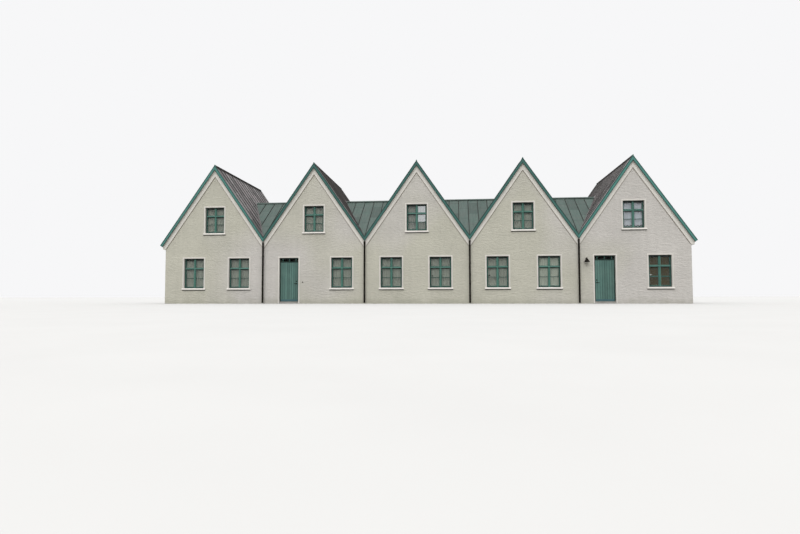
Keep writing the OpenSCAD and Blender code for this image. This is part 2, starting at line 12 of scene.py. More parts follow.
import bmesh
import bpy
import numpy as np
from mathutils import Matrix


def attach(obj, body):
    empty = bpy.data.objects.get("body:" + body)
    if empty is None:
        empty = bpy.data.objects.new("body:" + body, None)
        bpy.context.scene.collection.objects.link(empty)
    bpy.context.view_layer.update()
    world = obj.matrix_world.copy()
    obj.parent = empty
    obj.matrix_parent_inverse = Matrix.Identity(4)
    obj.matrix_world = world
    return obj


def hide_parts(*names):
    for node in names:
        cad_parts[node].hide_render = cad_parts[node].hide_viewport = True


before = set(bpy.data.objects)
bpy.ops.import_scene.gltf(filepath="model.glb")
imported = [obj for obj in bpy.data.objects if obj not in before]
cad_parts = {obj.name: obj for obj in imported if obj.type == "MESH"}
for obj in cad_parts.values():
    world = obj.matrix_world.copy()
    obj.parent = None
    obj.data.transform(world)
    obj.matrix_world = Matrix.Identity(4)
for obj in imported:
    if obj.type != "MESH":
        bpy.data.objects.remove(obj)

log = logging.getLogger("farmhouse")
Socket = bpy.types.NodeSocket
Array = np.ndarray
Triple = tuple[float, float, float]
Four = tuple[float, float, float, float]
Colour = Triple
Material = bpy.types.Material


class Slot(Enum):
    """Material slots of the record, passed with each piece."""

    PLASTER = "smooth_plaster"
    ROOF = "roof_patina"
    VERGE = "verge_teal"
    FRAME = "frame_teal"
    DOOR = "door_teal"
    GLASS = "glass"
    CURTAIN = "curtain"
    DARK = "dark_metal"


class Body(Enum):
    """Bodies that pieces ride on."""

    HOUSE = "house"
    LEAF_2 = "door_leaf_2"
    LEAF_5 = "door_leaf_5"


class Hang(Enum):
    """What hangs behind a window."""

    NET = "net"
    WHITE = "white net behind brighter glass"
    BLIND = "blind"
    LILAC = "lilac"


class Catch(Enum):
    """What shows of a catch at a window's left casement."""

    NONE = 0
    DARK = 1
    PALE = 2


# --- house form


@dataclass(frozen=True)
class House:
    """Driving sizes of the house, as in the part's source."""

    gables: int = 5
    gable_w: float = 5.25
    depth: float = 6.8
    pitch: float = math.radians(55.3)
    saddle_pitch: float = math.radians(34.5)
    valley_z: float = 3.38
    deck_t: float = 0.137
    sheet_t: float = 0.008
    seam_step: float = 0.515
    seam_h: float = 0.035
    seat: float = 0.0003
    verge_out: float = 0.12
    board_t: float = 0.03
    board_end: float = 0.26
    eaves_out: float = 0.137
    head_z: float = 2.33
    light_step: float = 0.34
    light_half: float = 0.455
    light_bar: float = 0.0125
    upper_z: float = 2.5

    @property
    def slope(self) -> float:
        """Rise of a gable roof for each metre across."""
        return math.tan(self.pitch)

    @property
    def plumb(self) -> float:
        """Plumb height for each metre square to a gable roof."""
        return 1 / math.cos(self.pitch)

    @property
    def end_x(self) -> float:
        """Outer face of the end walls."""
        return self.gables * self.gable_w / 2

    @property
    def face_y(self) -> float:
        """Outer face of the gable walls."""
        return self.depth / 2

    @property
    def roof_y(self) -> float:
        """Reach of the roofs along Y, behind the verge boards."""
        return self.face_y + self.verge_out - self.board_t

    @property
    def apex_z(self) -> float:
        """Height of the ridges."""
        return self.valley_z + self.gable_w / 2 * self.slope

    @property
    def roof_v(self) -> float:
        """Plumb thickness of a gable roof."""
        return (self.deck_t + self.sheet_t) * self.plumb

    @property
    def saddle_rise(self) -> float:
        """Height of a saddle's ridge over the valley."""
        return self.face_y * self.fall

    @property
    def fall(self) -> float:
        """Drop of a saddle for each metre from its ridge."""
        return math.tan(self.saddle_pitch)

    @property
    def lift(self) -> float:
        """Plumb height for each metre square to a saddle."""
        return 1 / math.cos(self.saddle_pitch)

    def valley_x(self, n: int) -> float:
        """Valley n, from 0 at the left end to 5 at the right end."""
        return -self.end_x + n * self.gable_w

    def mid_x(self, n: int) -> float:
        """Middle of gable n, from 1 on the left."""
        return self.valley_x(n) - self.gable_w / 2

    def roof_at(self, n: int, x: Array | float) -> Array | float:
        """Height of gable n's roof at x: the ridge less the slope times the way from the middle."""
        return self.apex_z - np.abs(x - self.mid_x(n)) * self.slope


HOUSE = House()


class Side(Enum):
    """Sides of the house, with the turn from the front and the reach of the wall face."""

    FRONT = (0.0, HOUSE.face_y)
    BACK = (180.0, HOUSE.face_y)
    RIGHT = (90.0, HOUSE.end_x)
    LEFT = (-90.0, HOUSE.end_x)

    def place(self, points: Array) -> Array:
        """Turn points drawn on the front wall, with y = 0 on its face, to this side.

        Args:
            points: Array of points along, into and up the wall.

        Returns:
            The same points in the frame of the house.
        """
        turn, reach = self.value
        c, s = round(math.cos(math.radians(turn))), round(math.sin(math.radians(turn)))
        x, y, z = points[..., 0], points[..., 1] - reach, points[..., 2]
        return np.stack([c * x - s * y, s * x + c * y, z], -1)


# --- meshes

BAR_POINTS = 24  # points of a chamfered bar, three at each corner
UPRIGHT = 0.9  # a path that rises more than this is taken as upright
WELD = 1e-6  # points nearer than this are joined


def grid_faces(rows: int, cols: int, wrap_rows: bool = False, wrap_cols: bool = False) -> Array:
    """Quads of a grid of points, row by row, which may close on itself either way.

    Args:
        rows: Number of rows of points.
        cols: Points in a row.
        wrap_rows: Whether the last row joins the first.
        wrap_cols: Whether each row closes on itself.

    Returns:
        Four point numbers for each face.
    """
    r = np.arange(rows if wrap_rows else rows - 1)
    c = np.arange(cols if wrap_cols else cols - 1)
    r, c = np.meshgrid(r, c, indexing="ij")
    r2, c2 = (r + 1) % rows, (c + 1) % cols
    corners = [r * cols + c, r2 * cols + c, r2 * cols + c2, r * cols + c2]
    return np.stack(corners, -1).reshape(-1, 4)


def ripple(a: Array, b: Array, seed: int, waves: int = 5) -> Array:
    """Smooth waviness about zero: a sum of sine waves with seeded directions and phases.

    Args:
        a: First coordinate of each point.
        b: Second coordinate of each point.
        seed: Seed of the draws.
        waves: Number of waves.

    Returns:
        A height for each point, from about -1 to 1.
    """
    rng = np.random.default_rng(seed)
    total = np.zeros(np.broadcast(a, b).shape)
    for _ in range(waves):
        ka, kb = rng.normal(0, 1, 2)
        total = total + np.sin(ka * a + kb * b + rng.uniform(0, 2 * math.pi))
    return total / waves


def put(name: str, data: bpy.types.ID) -> bpy.types.Object:
    """Add an object that holds the data to the scene.

    Args:
        name: Name of the object.
        data: What it holds, such as its mesh.

    Returns:
        The object.
    """
    made = bpy.data.objects.new(name, data)
    bpy.context.scene.collection.objects.link(made)
    return made


class MeshParts:
    """Points and faces of one piece, gathered before they become a mesh."""

    def __init__(self) -> None:
        """Start with nothing."""
        self.points: list[Array] = []
        self.faces: list[Array] = []
        self.finish_of: list[Array] = []
        self.tones: list[Array] = []
        self.uvs: list[Array] = []
        self.count = 0

    def add(
        self, points: Array, faces: list[Array], tone: Array | float = 0.5,
        uv: Array | None = None, finish: int = 0,
    ) -> None:
        """Add points with their faces.

        Args:
            points: Points of any shape whose last axis holds x, y and z.
            faces: Arrays of faces that index these points.
            tone: Tone of the paint, for all points or for each.
            uv: Way across and along for each point.
            finish: Place of the faces' material among the piece's materials.
        """
        flat = np.asarray(points, float).reshape(-1, 3)
        self.points.append(flat)
        for f in faces:
            self.faces.append(np.asarray(f) + self.count)
            self.finish_of.append(np.full(len(f), finish))
        self.tones.append(np.broadcast_to(np.asarray(tone, float).reshape(-1), (len(flat),)))
        self.uvs.append(np.zeros((len(flat), 2)) if uv is None else uv.reshape(-1, 2))
        self.count += len(flat)

    def sweep(
        self, rings: Array, tone: Array | float = 0.5, uv: Array | None = None, finish: int = 0
    ) -> None:
        """Skin closed rings, given as stations by ring points, with a cap at each end.

        Args:
            rings: Points of each ring, station by station.
            tone: Tone for all points or for each.
            uv: Way across and along for each point.
            finish: Place of the material.
        """
        n, k = rings.shape[:2]
        ring = np.arange(k)[None, :]
        faces = [grid_faces(n, k, wrap_cols=True), ring, ring + (n - 1) * k]
        self.add(rings, faces, tone, uv, finish)

    def bars(
        self, low: Array, high: Array, bevel: float, tone: Array | float = 0.5, finish: int = 0,
        side: Side = Side.FRONT,
    ) -> None:
        """Square bars with chamfered edges, each from a low corner to a high corner.

        Each corner has three points, one on each face that meets there, drawn in from the
        edges by the bevel.

        Args:
            low: Lowest corner of each bar.
            high: Highest corner of each bar.
            bevel: Width of the chamfers.
            tone: Tone of all bars, of each bar, or of each bar's 24 points.
            finish: Place of the material.
            side: Side of the house.
        """
        low, high = np.atleast_2d(low).astype(float), np.atleast_2d(high).astype(float)
        mid, half = (low + high) / 2, (high - low) / 2
        signs = np.stack(np.meshgrid([-1, 1], [-1, 1], [-1, 1], indexing="ij"), -1).reshape(8, 3)
        inset = bevel * (1 - np.eye(3))
        reach = half[:, None, None, :] - inset[None, None, :, :]
        points = side.place(mid[:, None, None, :] + signs[None, :, None, :] * reach)
        quads, tris = self._bar_faces()
        step = (np.arange(len(low)) * BAR_POINTS)[:, None, None]
        tones = np.asarray(tone, float).reshape(-1)
        if len(tones) != BAR_POINTS * len(low):
            tones = np.repeat(np.broadcast_to(tones, (len(low),)), BAR_POINTS)
        faces = [(quads[None] + step).reshape(-1, 4), (tris[None] + step).reshape(-1, 3)]
        self.add(points, faces, tones, finish=finish)

    @staticmethod
    def _bar_faces() -> tuple[Array, Array]:
        """Faces of one chamfered bar: six sides, twelve edges and eight corners.

        Returns:
            The four-sided faces and the corner triangles.
        """

        def at(c: list[int], axis: int) -> int:
            """Number of the point that a corner has on an axis' face."""
            return (4 * c[0] + 2 * c[1] + c[2]) * 3 + axis

        loop = ((0, 0), (1, 0), (1, 1), (0, 1))
        quads = []
        for a in range(3):
            b, c = (a + 1) % 3, (a + 2) % 3
            for s in (0, 1):
                ring = []
                for q in loop:
                    corner = [0, 0, 0]
                    corner[a], corner[b], corner[c] = s, q[0], q[1]
                    ring.append(at(corner, a))
                quads.append(ring)
            for q in loop:
                ends = []
                for s in (0, 1):
                    corner = [0, 0, 0]
                    corner[a], corner[b], corner[c] = s, q[0], q[1]
                    ends.append(corner)
                quads.append([at(ends[0], b), at(ends[1], b), at(ends[1], c), at(ends[0], c)])
        tris = [[3 * i, 3 * i + 1, 3 * i + 2] for i in range(8)]
        return np.array(quads), np.array(tris)

    def lathe(
        self, profile: Array, centre: Array, axis: str = "z", turns: int = 32, looped: bool = False,
        tone: float = 0.5, finish: int = 0, side: Side = Side.FRONT,
    ) -> None:
        """Turn a profile of radius and height round an axis through the centre.

        Args:
            profile: Radius and height of each point.
            centre: Point on the axis that heights are measured from.
            axis: "z" for up, "y" for out of the front wall.
            turns: Number of steps round.
            looped: Whether the profile's last point joins its first.
            tone: Tone of the paint.
            finish: Place of the material.
            side: Side of the house.
        """
        angle = np.arange(turns) * 2 * math.pi / turns
        r, h = profile[:, 0], profile[:, 1]
        a = r[None] * np.cos(angle)[:, None]
        b = r[None] * np.sin(angle)[:, None]
        h = np.broadcast_to(h[None], a.shape)
        points = np.stack([a, b, h] if axis == "z" else [a, -h, b], -1) + np.asarray(centre)
        faces = [grid_faces(turns, len(r), True, looped)]
        self.add(side.place(points), faces, tone, finish=finish)

    def tube(self, path: Array, radius: Array | float, turns: int = 16, tone: float = 0.5,
             finish: int = 0, side: Side = Side.FRONT) -> None:
        """Round bar along a path: at each point a circle square to the path's direction.

        Args:
            path: Points of the bar's middle line.
            radius: Radius, for all points or for each.
            turns: Number of steps round.
            tone: Tone of the paint.
            finish: Place of the material.
            side: Side of the house.
        """
        way = np.gradient(path, axis=0)
        way /= np.linalg.norm(way, axis=1, keepdims=True)
        up = np.where(np.abs(way[:, 2:3]) > UPRIGHT, [[1.0, 0, 0]], [[0, 0, 1.0]])
        a = np.cross(way, up)
        a /= np.linalg.norm(a, axis=1, keepdims=True)
        b = np.cross(a, way)
        angle = np.arange(turns) * 2 * math.pi / turns
        radius = np.broadcast_to(np.asarray(radius, float), (len(path),))
        ring = a[:, None] * np.cos(angle)[None, :, None] + b[:, None] * np.sin(angle)[None, :, None]
        points = path[:, None] + ring * radius[:, None, None]
        self.sweep(side.place(points), tone, finish=finish)

    def build(
        self, name: str, finishes: list[Material], slot: Slot, body: Body = Body.HOUSE,
        replaces: tuple[str, ...] = (), closed: bool = True, weld: bool = False,
        smooth: float = 40.0,
    ) -> bpy.types.Object:
        """Make the mesh, turn its faces outwards, dress it and hang it on its body.

        Args:
            name: Name of the piece.
            finishes: Materials, in the order that the faces name them.
            slot: Material slot of the record; not used.
            body: Body that the piece rides on.
            replaces: Nodes that the piece stands for.
            closed: Whether the shells are closed, so that faces can be turned outwards.
            weld: Whether points at the same place are joined first.
            smooth: Greatest angle in degrees between faces that shade as one.

        Returns:
            The finished object.
        """
        points = np.concatenate(self.points)
        loops = np.concatenate([f.ravel() for f in self.faces])
        sizes = np.concatenate([np.full(len(f), f.shape[1]) for f in self.faces])
        mesh = bpy.data.meshes.new(name)
        mesh.vertices.add(len(points))
        mesh.vertices.foreach_set("co", points.astype(np.float32).ravel())
        mesh.loops.add(len(loops))
        mesh.loops.foreach_set("vertex_index", loops.astype(np.int32))
        mesh.polygons.add(len(sizes))
        mesh.polygons.foreach_set("loop_start", (np.cumsum(sizes) - sizes).astype(np.int32))
        for material in finishes:
            mesh.materials.append(material)
        finish_of = np.concatenate(self.finish_of).astype(np.int32)
        mesh.polygons.foreach_set("material_index", finish_of)
        uv = np.concatenate(self.uvs)[loops].astype(np.float32)
        mesh.uv_layers.new(name="sheets").data.foreach_set("uv", uv.ravel())
        tone = mesh.attributes.new("tone", "FLOAT", "POINT")
        tone.data.foreach_set("value", np.concatenate(self.tones).astype(np.float32))
        mesh.update(calc_edges=True)
        mesh.validate()
        if closed or weld:
            shell = bmesh.new()
            shell.from_mesh(mesh)
            if weld:
                bmesh.ops.remove_doubles(shell, verts=shell.verts, dist=WELD)
            if closed:
                bmesh.ops.recalc_face_normals(shell, faces=shell.faces)
            shell.to_mesh(mesh)
            shell.free()
        mesh.shade_smooth()
        mesh.set_sharp_from_angle(angle=math.radians(smooth))
        piece = put(name, mesh)
        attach(piece, body.value)
        if replaces:
            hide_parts(*replaces)
        log.info("%s: %d points, %d faces", name, len(mesh.vertices), len(mesh.polygons))
        return piece


# --- finishes

MIDDLE = (0.3, 0.7)  # range that most of a noise's values lie in


class Graph:
    """The nodes of a material or of the world, as they are put together."""

    def __init__(self, name: str, world: bool = False) -> None:
        """Start an empty material or world of that name.

        Args:
            name: Name of the material or world.
            world: Whether the nodes are a world's.
        """
        self.holder = (bpy.data.worlds if world else bpy.data.materials).new(name)
        self.holder.use_nodes = True
        self.graph = self.holder.node_tree
        self.graph.nodes.clear()
        self.output = self.node("OutputWorld" if world else "OutputMaterial")

    def node(self, kind: str, settings: dict | None = None, **inputs: object) -> bpy.types.Node:
        """Add a node.

        Args:
            kind: Node type without its ShaderNode prefix.
            settings: Properties of the node.
            **inputs: Values or sockets for its inputs, with underscores for spaces, or i and
                a number for an input by its place.

        Returns:
            The node.
        """
        made = self.graph.nodes.new("ShaderNode" + kind)
        for key, value in (settings or {}).items():
            setattr(made, key, value)
        for key, value in inputs.items():
            by_place = key[0] == "i" and key[1:].isdigit()
            socket = made.inputs[int(key[1:])] if by_place else made.inputs[key.replace("_", " ")]
            if isinstance(value, Socket):
                self.graph.links.new(value, socket)
            elif isinstance(value, tuple) and len(value) == 3 and socket.type == "RGBA":
                socket.default_value = (*value, 1)
            else:
                socket.default_value = value
        return made

    def place(self) -> Socket:
        """Object coordinates, in metres."""
        return self.node("TexCoord").outputs["Object"]

    def axes(self, vector: Socket) -> tuple[Socket, Socket, Socket]:
        """X, Y and Z of a vector."""
        split = self.node("SeparateXYZ", i0=vector)
        return split.outputs[0], split.outputs[1], split.outputs[2]

    def stretch(self, vector: Socket, scale: Triple) -> Socket:
        """The vector with each axis scaled."""
        return self.node("Mapping", i0=vector, i3=scale).outputs[0]

    def uv(self) -> Socket:
        """Way across and along, in metres."""
        return self.node("UVMap", {"uv_map": "sheets"}).outputs[0]

    def noise(
        self, vector: Socket, scale: float, detail: float = 3.0, rough: float = 0.5
    ) -> Socket:
        """Noise from 0 to 1, with so many features to a metre."""
        return self.node("TexNoise", Vector=vector, Scale=scale, Detail=detail,
                         Roughness=rough).outputs[0]

    def cells(self, vector: Socket, scale: float) -> Socket:
        """Distance to the nearest of scattered points."""
        return self.node("TexVoronoi", Vector=vector, Scale=scale).outputs[0]

    def math(self, how: str, a: Socket | float, b: Socket | float = 0.0) -> Socket:
        """One sum of two values."""
        return self.node("Math", {"operation": how}, i0=a, i1=b).outputs[0]

    def span(self, value: Socket, low: float, high: float, to_low: float = 0.0,
             to_high: float = 1.0) -> Socket:
        """Carry the range from low to high over to another, and stop at its ends."""
        return self.node("MapRange", i0=value, i1=low, i2=high, i3=to_low, i4=to_high).outputs[0]

    def mix(self, share: Socket | float, a: Socket | Colour, b: Socket | Colour,
            how: str = "MIX") -> Socket:
        """Blend two colours."""
        return self.node("Mix", {"data_type": "RGBA", "blend_type": how}, i0=share, i6=a,
                         i7=b).outputs[2]

    def shade(self, colour: Socket | Colour, value: Socket) -> Socket:
        """A colour times a grey value."""
        grey = self.node("CombineColor", i0=value, i1=value, i2=value).outputs[0]
        return self.mix(1.0, colour, grey, "MULTIPLY")

    def vary(self, colour: Socket | Colour, noise: Socket, low: float, high: float) -> Socket:
        """A colour times a grey from low to high, as the noise's middle range goes."""
        return self.shade(colour, self.span(noise, *MIDDLE, low, high))

    def tone(self) -> Socket:
        """The piece's own tone attribute."""
        return self.node("Attribute", {"attribute_name": "tone"}).outputs["Fac"]

    def bump(self, height: Socket, depth: float, strength: float = 1.0,
             normal: Socket | None = None) -> Socket:
        """Relief of that depth in metres, over an earlier relief if one is given.

        Args:
            height: Height from 0 to 1.
            depth: Height in metres that 1 stands for.
            strength: Share of the relief that shows.
            normal: Earlier relief, or None.

        Returns:
            The relief's normal.
        """
        made = self.node("Bump", Height=height, Distance=depth, Strength=strength)
        if normal is not None:
            self.graph.links.new(normal, made.inputs["Normal"])
        return made.outputs[0]

    def finish(self, shader: bpy.types.Node) -> Material:
        """Join the shader to the output and hand the material over."""
        self.graph.links.new(shader.outputs[0], self.output.inputs[0])
        return self.holder

    def seen(self) -> Socket:
        """One for what the camera sees, directly or in or through glass, and zero for light.

        Returns:
            The value.
        """
        rays = self.node("LightPath").outputs
        either = self.math("MAXIMUM", rays["Is Camera Ray"], rays["Is Glossy Ray"])
        return self.math("MAXIMUM", either, rays["Is Transmission Ray"])


@dataclass(frozen=True)
class Finish:
    """A finish that makes one material."""

    name: str
    colour: Colour

    def material(self) -> Material:
        """Make the material.

        Returns:
            The material.
        """
        raise NotImplementedError


@dataclass(frozen=True)
class Roughcast(Finish):
    """Painted roughcast: pebbled grain, trowel waves with painted shade in their hollows, rain
    streaks, a damp foot and a painted shadow line under the verge band.
    """

    grain: float = 95.0
    shaded: Colour = (0.49, 0.48, 0.412)
    damp: Colour = (0.25, 0.25, 0.19)
    band_shadow: Colour = (0.2, 0.17, 0.13)
    band: float = 0.18

    def material(self) -> Material:
        """Make the material.

        Returns:
            The material.
        """
        g = Graph(self.name)
        p = g.place()
        x, _, z = g.axes(p)
        broad = g.noise(p, 0.55, 4)
        streaks = g.noise(g.stretch(p, (5.0, 5.0, 0.35)), 1.0, 4)
        bands = g.noise(g.stretch(p, (0.4, 0.4, 3.2)), 1.0, 3)
        ripples = g.noise(g.stretch(p, (5.0, 5.0, 12.5)), 1.0, 4, 0.6)
        specks = g.noise(p, 42.0, 2)
        shelter = g.math("ADD", g.noise(p, 0.16, 2), g.span(x, 4.0, 9.0, 0.05, -0.22))
        shaded = g.span(shelter, 0.4, 0.56)
        colour = g.mix(shaded, self.colour, self.shaded)
        colour = g.vary(colour, broad, 0.95, 1.04)
        colour = g.vary(colour, streaks, 0.965, 1.02)
        colour = g.vary(colour, bands, 0.975, 1.02)
        # Colour follows the trowel waves' relief: painted shade in their hollows, painted light on
        # their crests.
        colour = g.shade(colour, g.span(ripples, 0.32, 0.68, 0.955, 1.045))
        colour = g.shade(colour, g.span(specks, 0.35, 0.6, 0.94, 1.02))
        # Painted shadow line on the wall under the verge band.
        colour = self.band_shadow_line(g, colour, x, z)
        edge = g.math("ADD", z, g.span(g.noise(p, 2.2, 4), *MIDDLE, -0.12, 0.12))
        colour = g.mix(g.span(edge, 0.3, 0.04, 0.0, 0.3), colour, self.damp)
        grit = g.cells(p, self.grain)
        relief = g.bump(ripples, 0.028, 1.0)
        relief = g.bump(grit, 0.0045, 0.8, relief)
        relief = g.bump(g.noise(p, 260.0, 2), 0.0015, 0.5, relief)
        shader = g.node("BsdfPrincipled", Base_Color=colour, Roughness=0.93, Normal=relief,
                        Specular_IOR_Level=0.25)
        return g.finish(shader)

    def band_shadow_line(self, g: Graph, colour: Socket, x: Socket, z: Socket) -> Socket:
        """Paint a thin line of shadow under the smooth band along the verge.

        The way below the band is the band's lower edge, which falls by the slope from the
        middle of each gable, less the height.

        Args:
            g: The material's graph.
            colour: Colour of the wall.
            x: Way along the front.
            z: Height.

        Returns:
            The colour with its line.
        """
        shifted = g.math("ADD", x, HOUSE.end_x)
        across = g.math("PINGPONG", shifted, HOUSE.gable_w / 2)
        foot = HOUSE.valley_z - self.band * HOUSE.plumb - HOUSE.roof_v
        rise = g.math("MULTIPLY", across, HOUSE.slope)
        edge = g.math("ADD", rise, foot)
        below = g.math("SUBTRACT", edge, z)
        line = g.span(below, 0.065, 0.04, 0.0, 0.72)
        over = g.span(z, foot, foot + 0.1)
        return g.mix(g.math("MULTIPLY", line, over), colour, self.band_shadow)


@dataclass(frozen=True)
class Plaster(Finish):
    """Smooth painted plaster, with brush marks, rain marks and worn edges."""

    rained: float = 0.75

    def material(self) -> Material:
        """Make the material.

        Returns:
            The material.
        """
        g = Graph(self.name)
        p = g.place()
        broad = g.noise(p, 1.4, 4)
        rain = g.noise(g.stretch(p, (16.0, 16.0, 1.2)), 1.0, 4)
        colour = g.vary(self.colour, broad, 0.93, 1.03)
        dull = tuple(self.rained * c for c in self.colour)
        colour = g.mix(g.span(rain, 0.56, 0.8, 0.0, 0.35), colour, dull)
        relief = g.bump(g.noise(p, 9.0, 4), 0.003, 0.6)
        relief = g.bump(g.noise(p, 190.0, 2), 0.0006, 0.5, relief)
        return g.finish(g.node("BsdfPrincipled", Base_Color=colour, Roughness=0.8, Normal=relief))


@dataclass(frozen=True)
class Concrete(Finish):
    """Floated concrete with fine pores and stains."""

    def material(self) -> Material:
        """Make the material.

        Returns:
            The material.
        """
        g = Graph(self.name)
        p = g.place()
        colour = g.vary(self.colour, g.noise(p, 2.5, 5, 0.6), 0.78, 1.15)
        colour = g.shade(colour, g.span(g.noise(p, 60.0, 2), 0.3, 0.6, 0.85, 1.05))
        relief = g.bump(g.noise(p, 70.0, 4), 0.002, 0.7)
        return g.finish(g.node("BsdfPrincipled", Base_Color=colour, Roughness=0.9, Normal=relief))


@dataclass(frozen=True)
class SawnTimber(Finish):
    """Sawn boards 150 mm wide that run along Y, painted where they reach beyond the walls."""

    board: float = 0.15
    paint: Colour = (0.55, 0.535, 0.5)

    def material(self) -> Material:
        """Make the material.

        Returns:
            The material.
        """
        g = Graph(self.name)
        p = g.place()
        x, y, z = g.axes(p)
        along = g.math("ADD", x, g.math("MULTIPLY", z, 0.6))
        row = g.math("DIVIDE", along, self.board)
        joint = g.math("ABSOLUTE", g.math("SUBTRACT", g.math("FRACT", row), 0.5))
        number = g.node("TexWhiteNoise", {"noise_dimensions": "1D"}, W=g.math("FLOOR", row))
        grain = g.noise(g.stretch(p, (60.0, 1.6, 60.0)), 1.0, 5, 0.6)
        colour = g.vary(self.colour, grain, 0.72, 1.12)
        colour = g.shade(colour, g.span(number.outputs[0], 0.0, 1.0, 0.85, 1.1))
        colour = g.shade(colour, g.span(joint, 0.47, 0.49, 1.0, 0.3))
        past_face = g.math("SUBTRACT", g.math("ABSOLUTE", y), HOUSE.face_y)
        past_end = g.math("SUBTRACT", g.math("ABSOLUTE", x), HOUSE.end_x)
        soffit = g.span(g.math("MAXIMUM", past_face, past_end), -0.002, 0.0)
        painted = g.shade(self.paint, g.span(joint, 0.47, 0.49, 1.0, 0.6))
        colour = g.mix(soffit, colour, painted)
        relief = g.bump(grain, 0.0015, 0.6)
        return g.finish(g.node("BsdfPrincipled", Base_Color=colour, Roughness=0.82, Normal=relief))


@dataclass(frozen=True)
class Paint(Finish):
    """Gloss-worn paint on wood or metal, toned by the piece, chalky in patches, and pale as a
    painted sheen where the tone runs above one.
    """

    roughness: float = 0.5
    low_tone: float = 0.75
    high_tone: float = 1.2
    grain: Triple = (40.0, 40.0, 3.0)
    dust: Colour = (0.22, 0.28, 0.25)
    dusty: float = 0.16
    painted_sheen: Colour = (0.3, 0.38, 0.355)
    gleam: float = 0.28

    def material(self) -> Material:
        """Make the material.

        Returns:
            The material.
        """
        g = Graph(self.name)
        p = g.place()
        fibres = g.noise(g.stretch(p, self.grain), 1.0, 4, 0.6)
        patches = g.noise(p, 3.5, 4)
        colour = g.shade(self.colour, g.span(g.tone(), 0.0, 1.0, self.low_tone, self.high_tone))
        colour = g.vary(colour, patches, 0.9, 1.1)
        colour = g.vary(colour, fibres, 0.93, 1.07)
        chalk = g.span(g.noise(p, 1.1, 5, 0.65), 0.5, 0.85, 0.0, self.dusty)
        colour = g.mix(chalk, colour, self.dust)
        # Tones above one turn pale: a painted sheen on edges.
        colour = g.mix(g.span(g.tone(), 1.05, 1.5, 0.0, 0.8), colour, self.painted_sheen)
        rough = g.span(patches, *MIDDLE, self.roughness - 0.08, self.roughness + 0.15)
        relief = g.bump(fibres, 0.0008, 0.6)
        shader = g.node("BsdfPrincipled", Base_Color=colour, Roughness=rough, Normal=relief,
                        Specular_IOR_Level=self.gleam)
        return g.finish(shader)


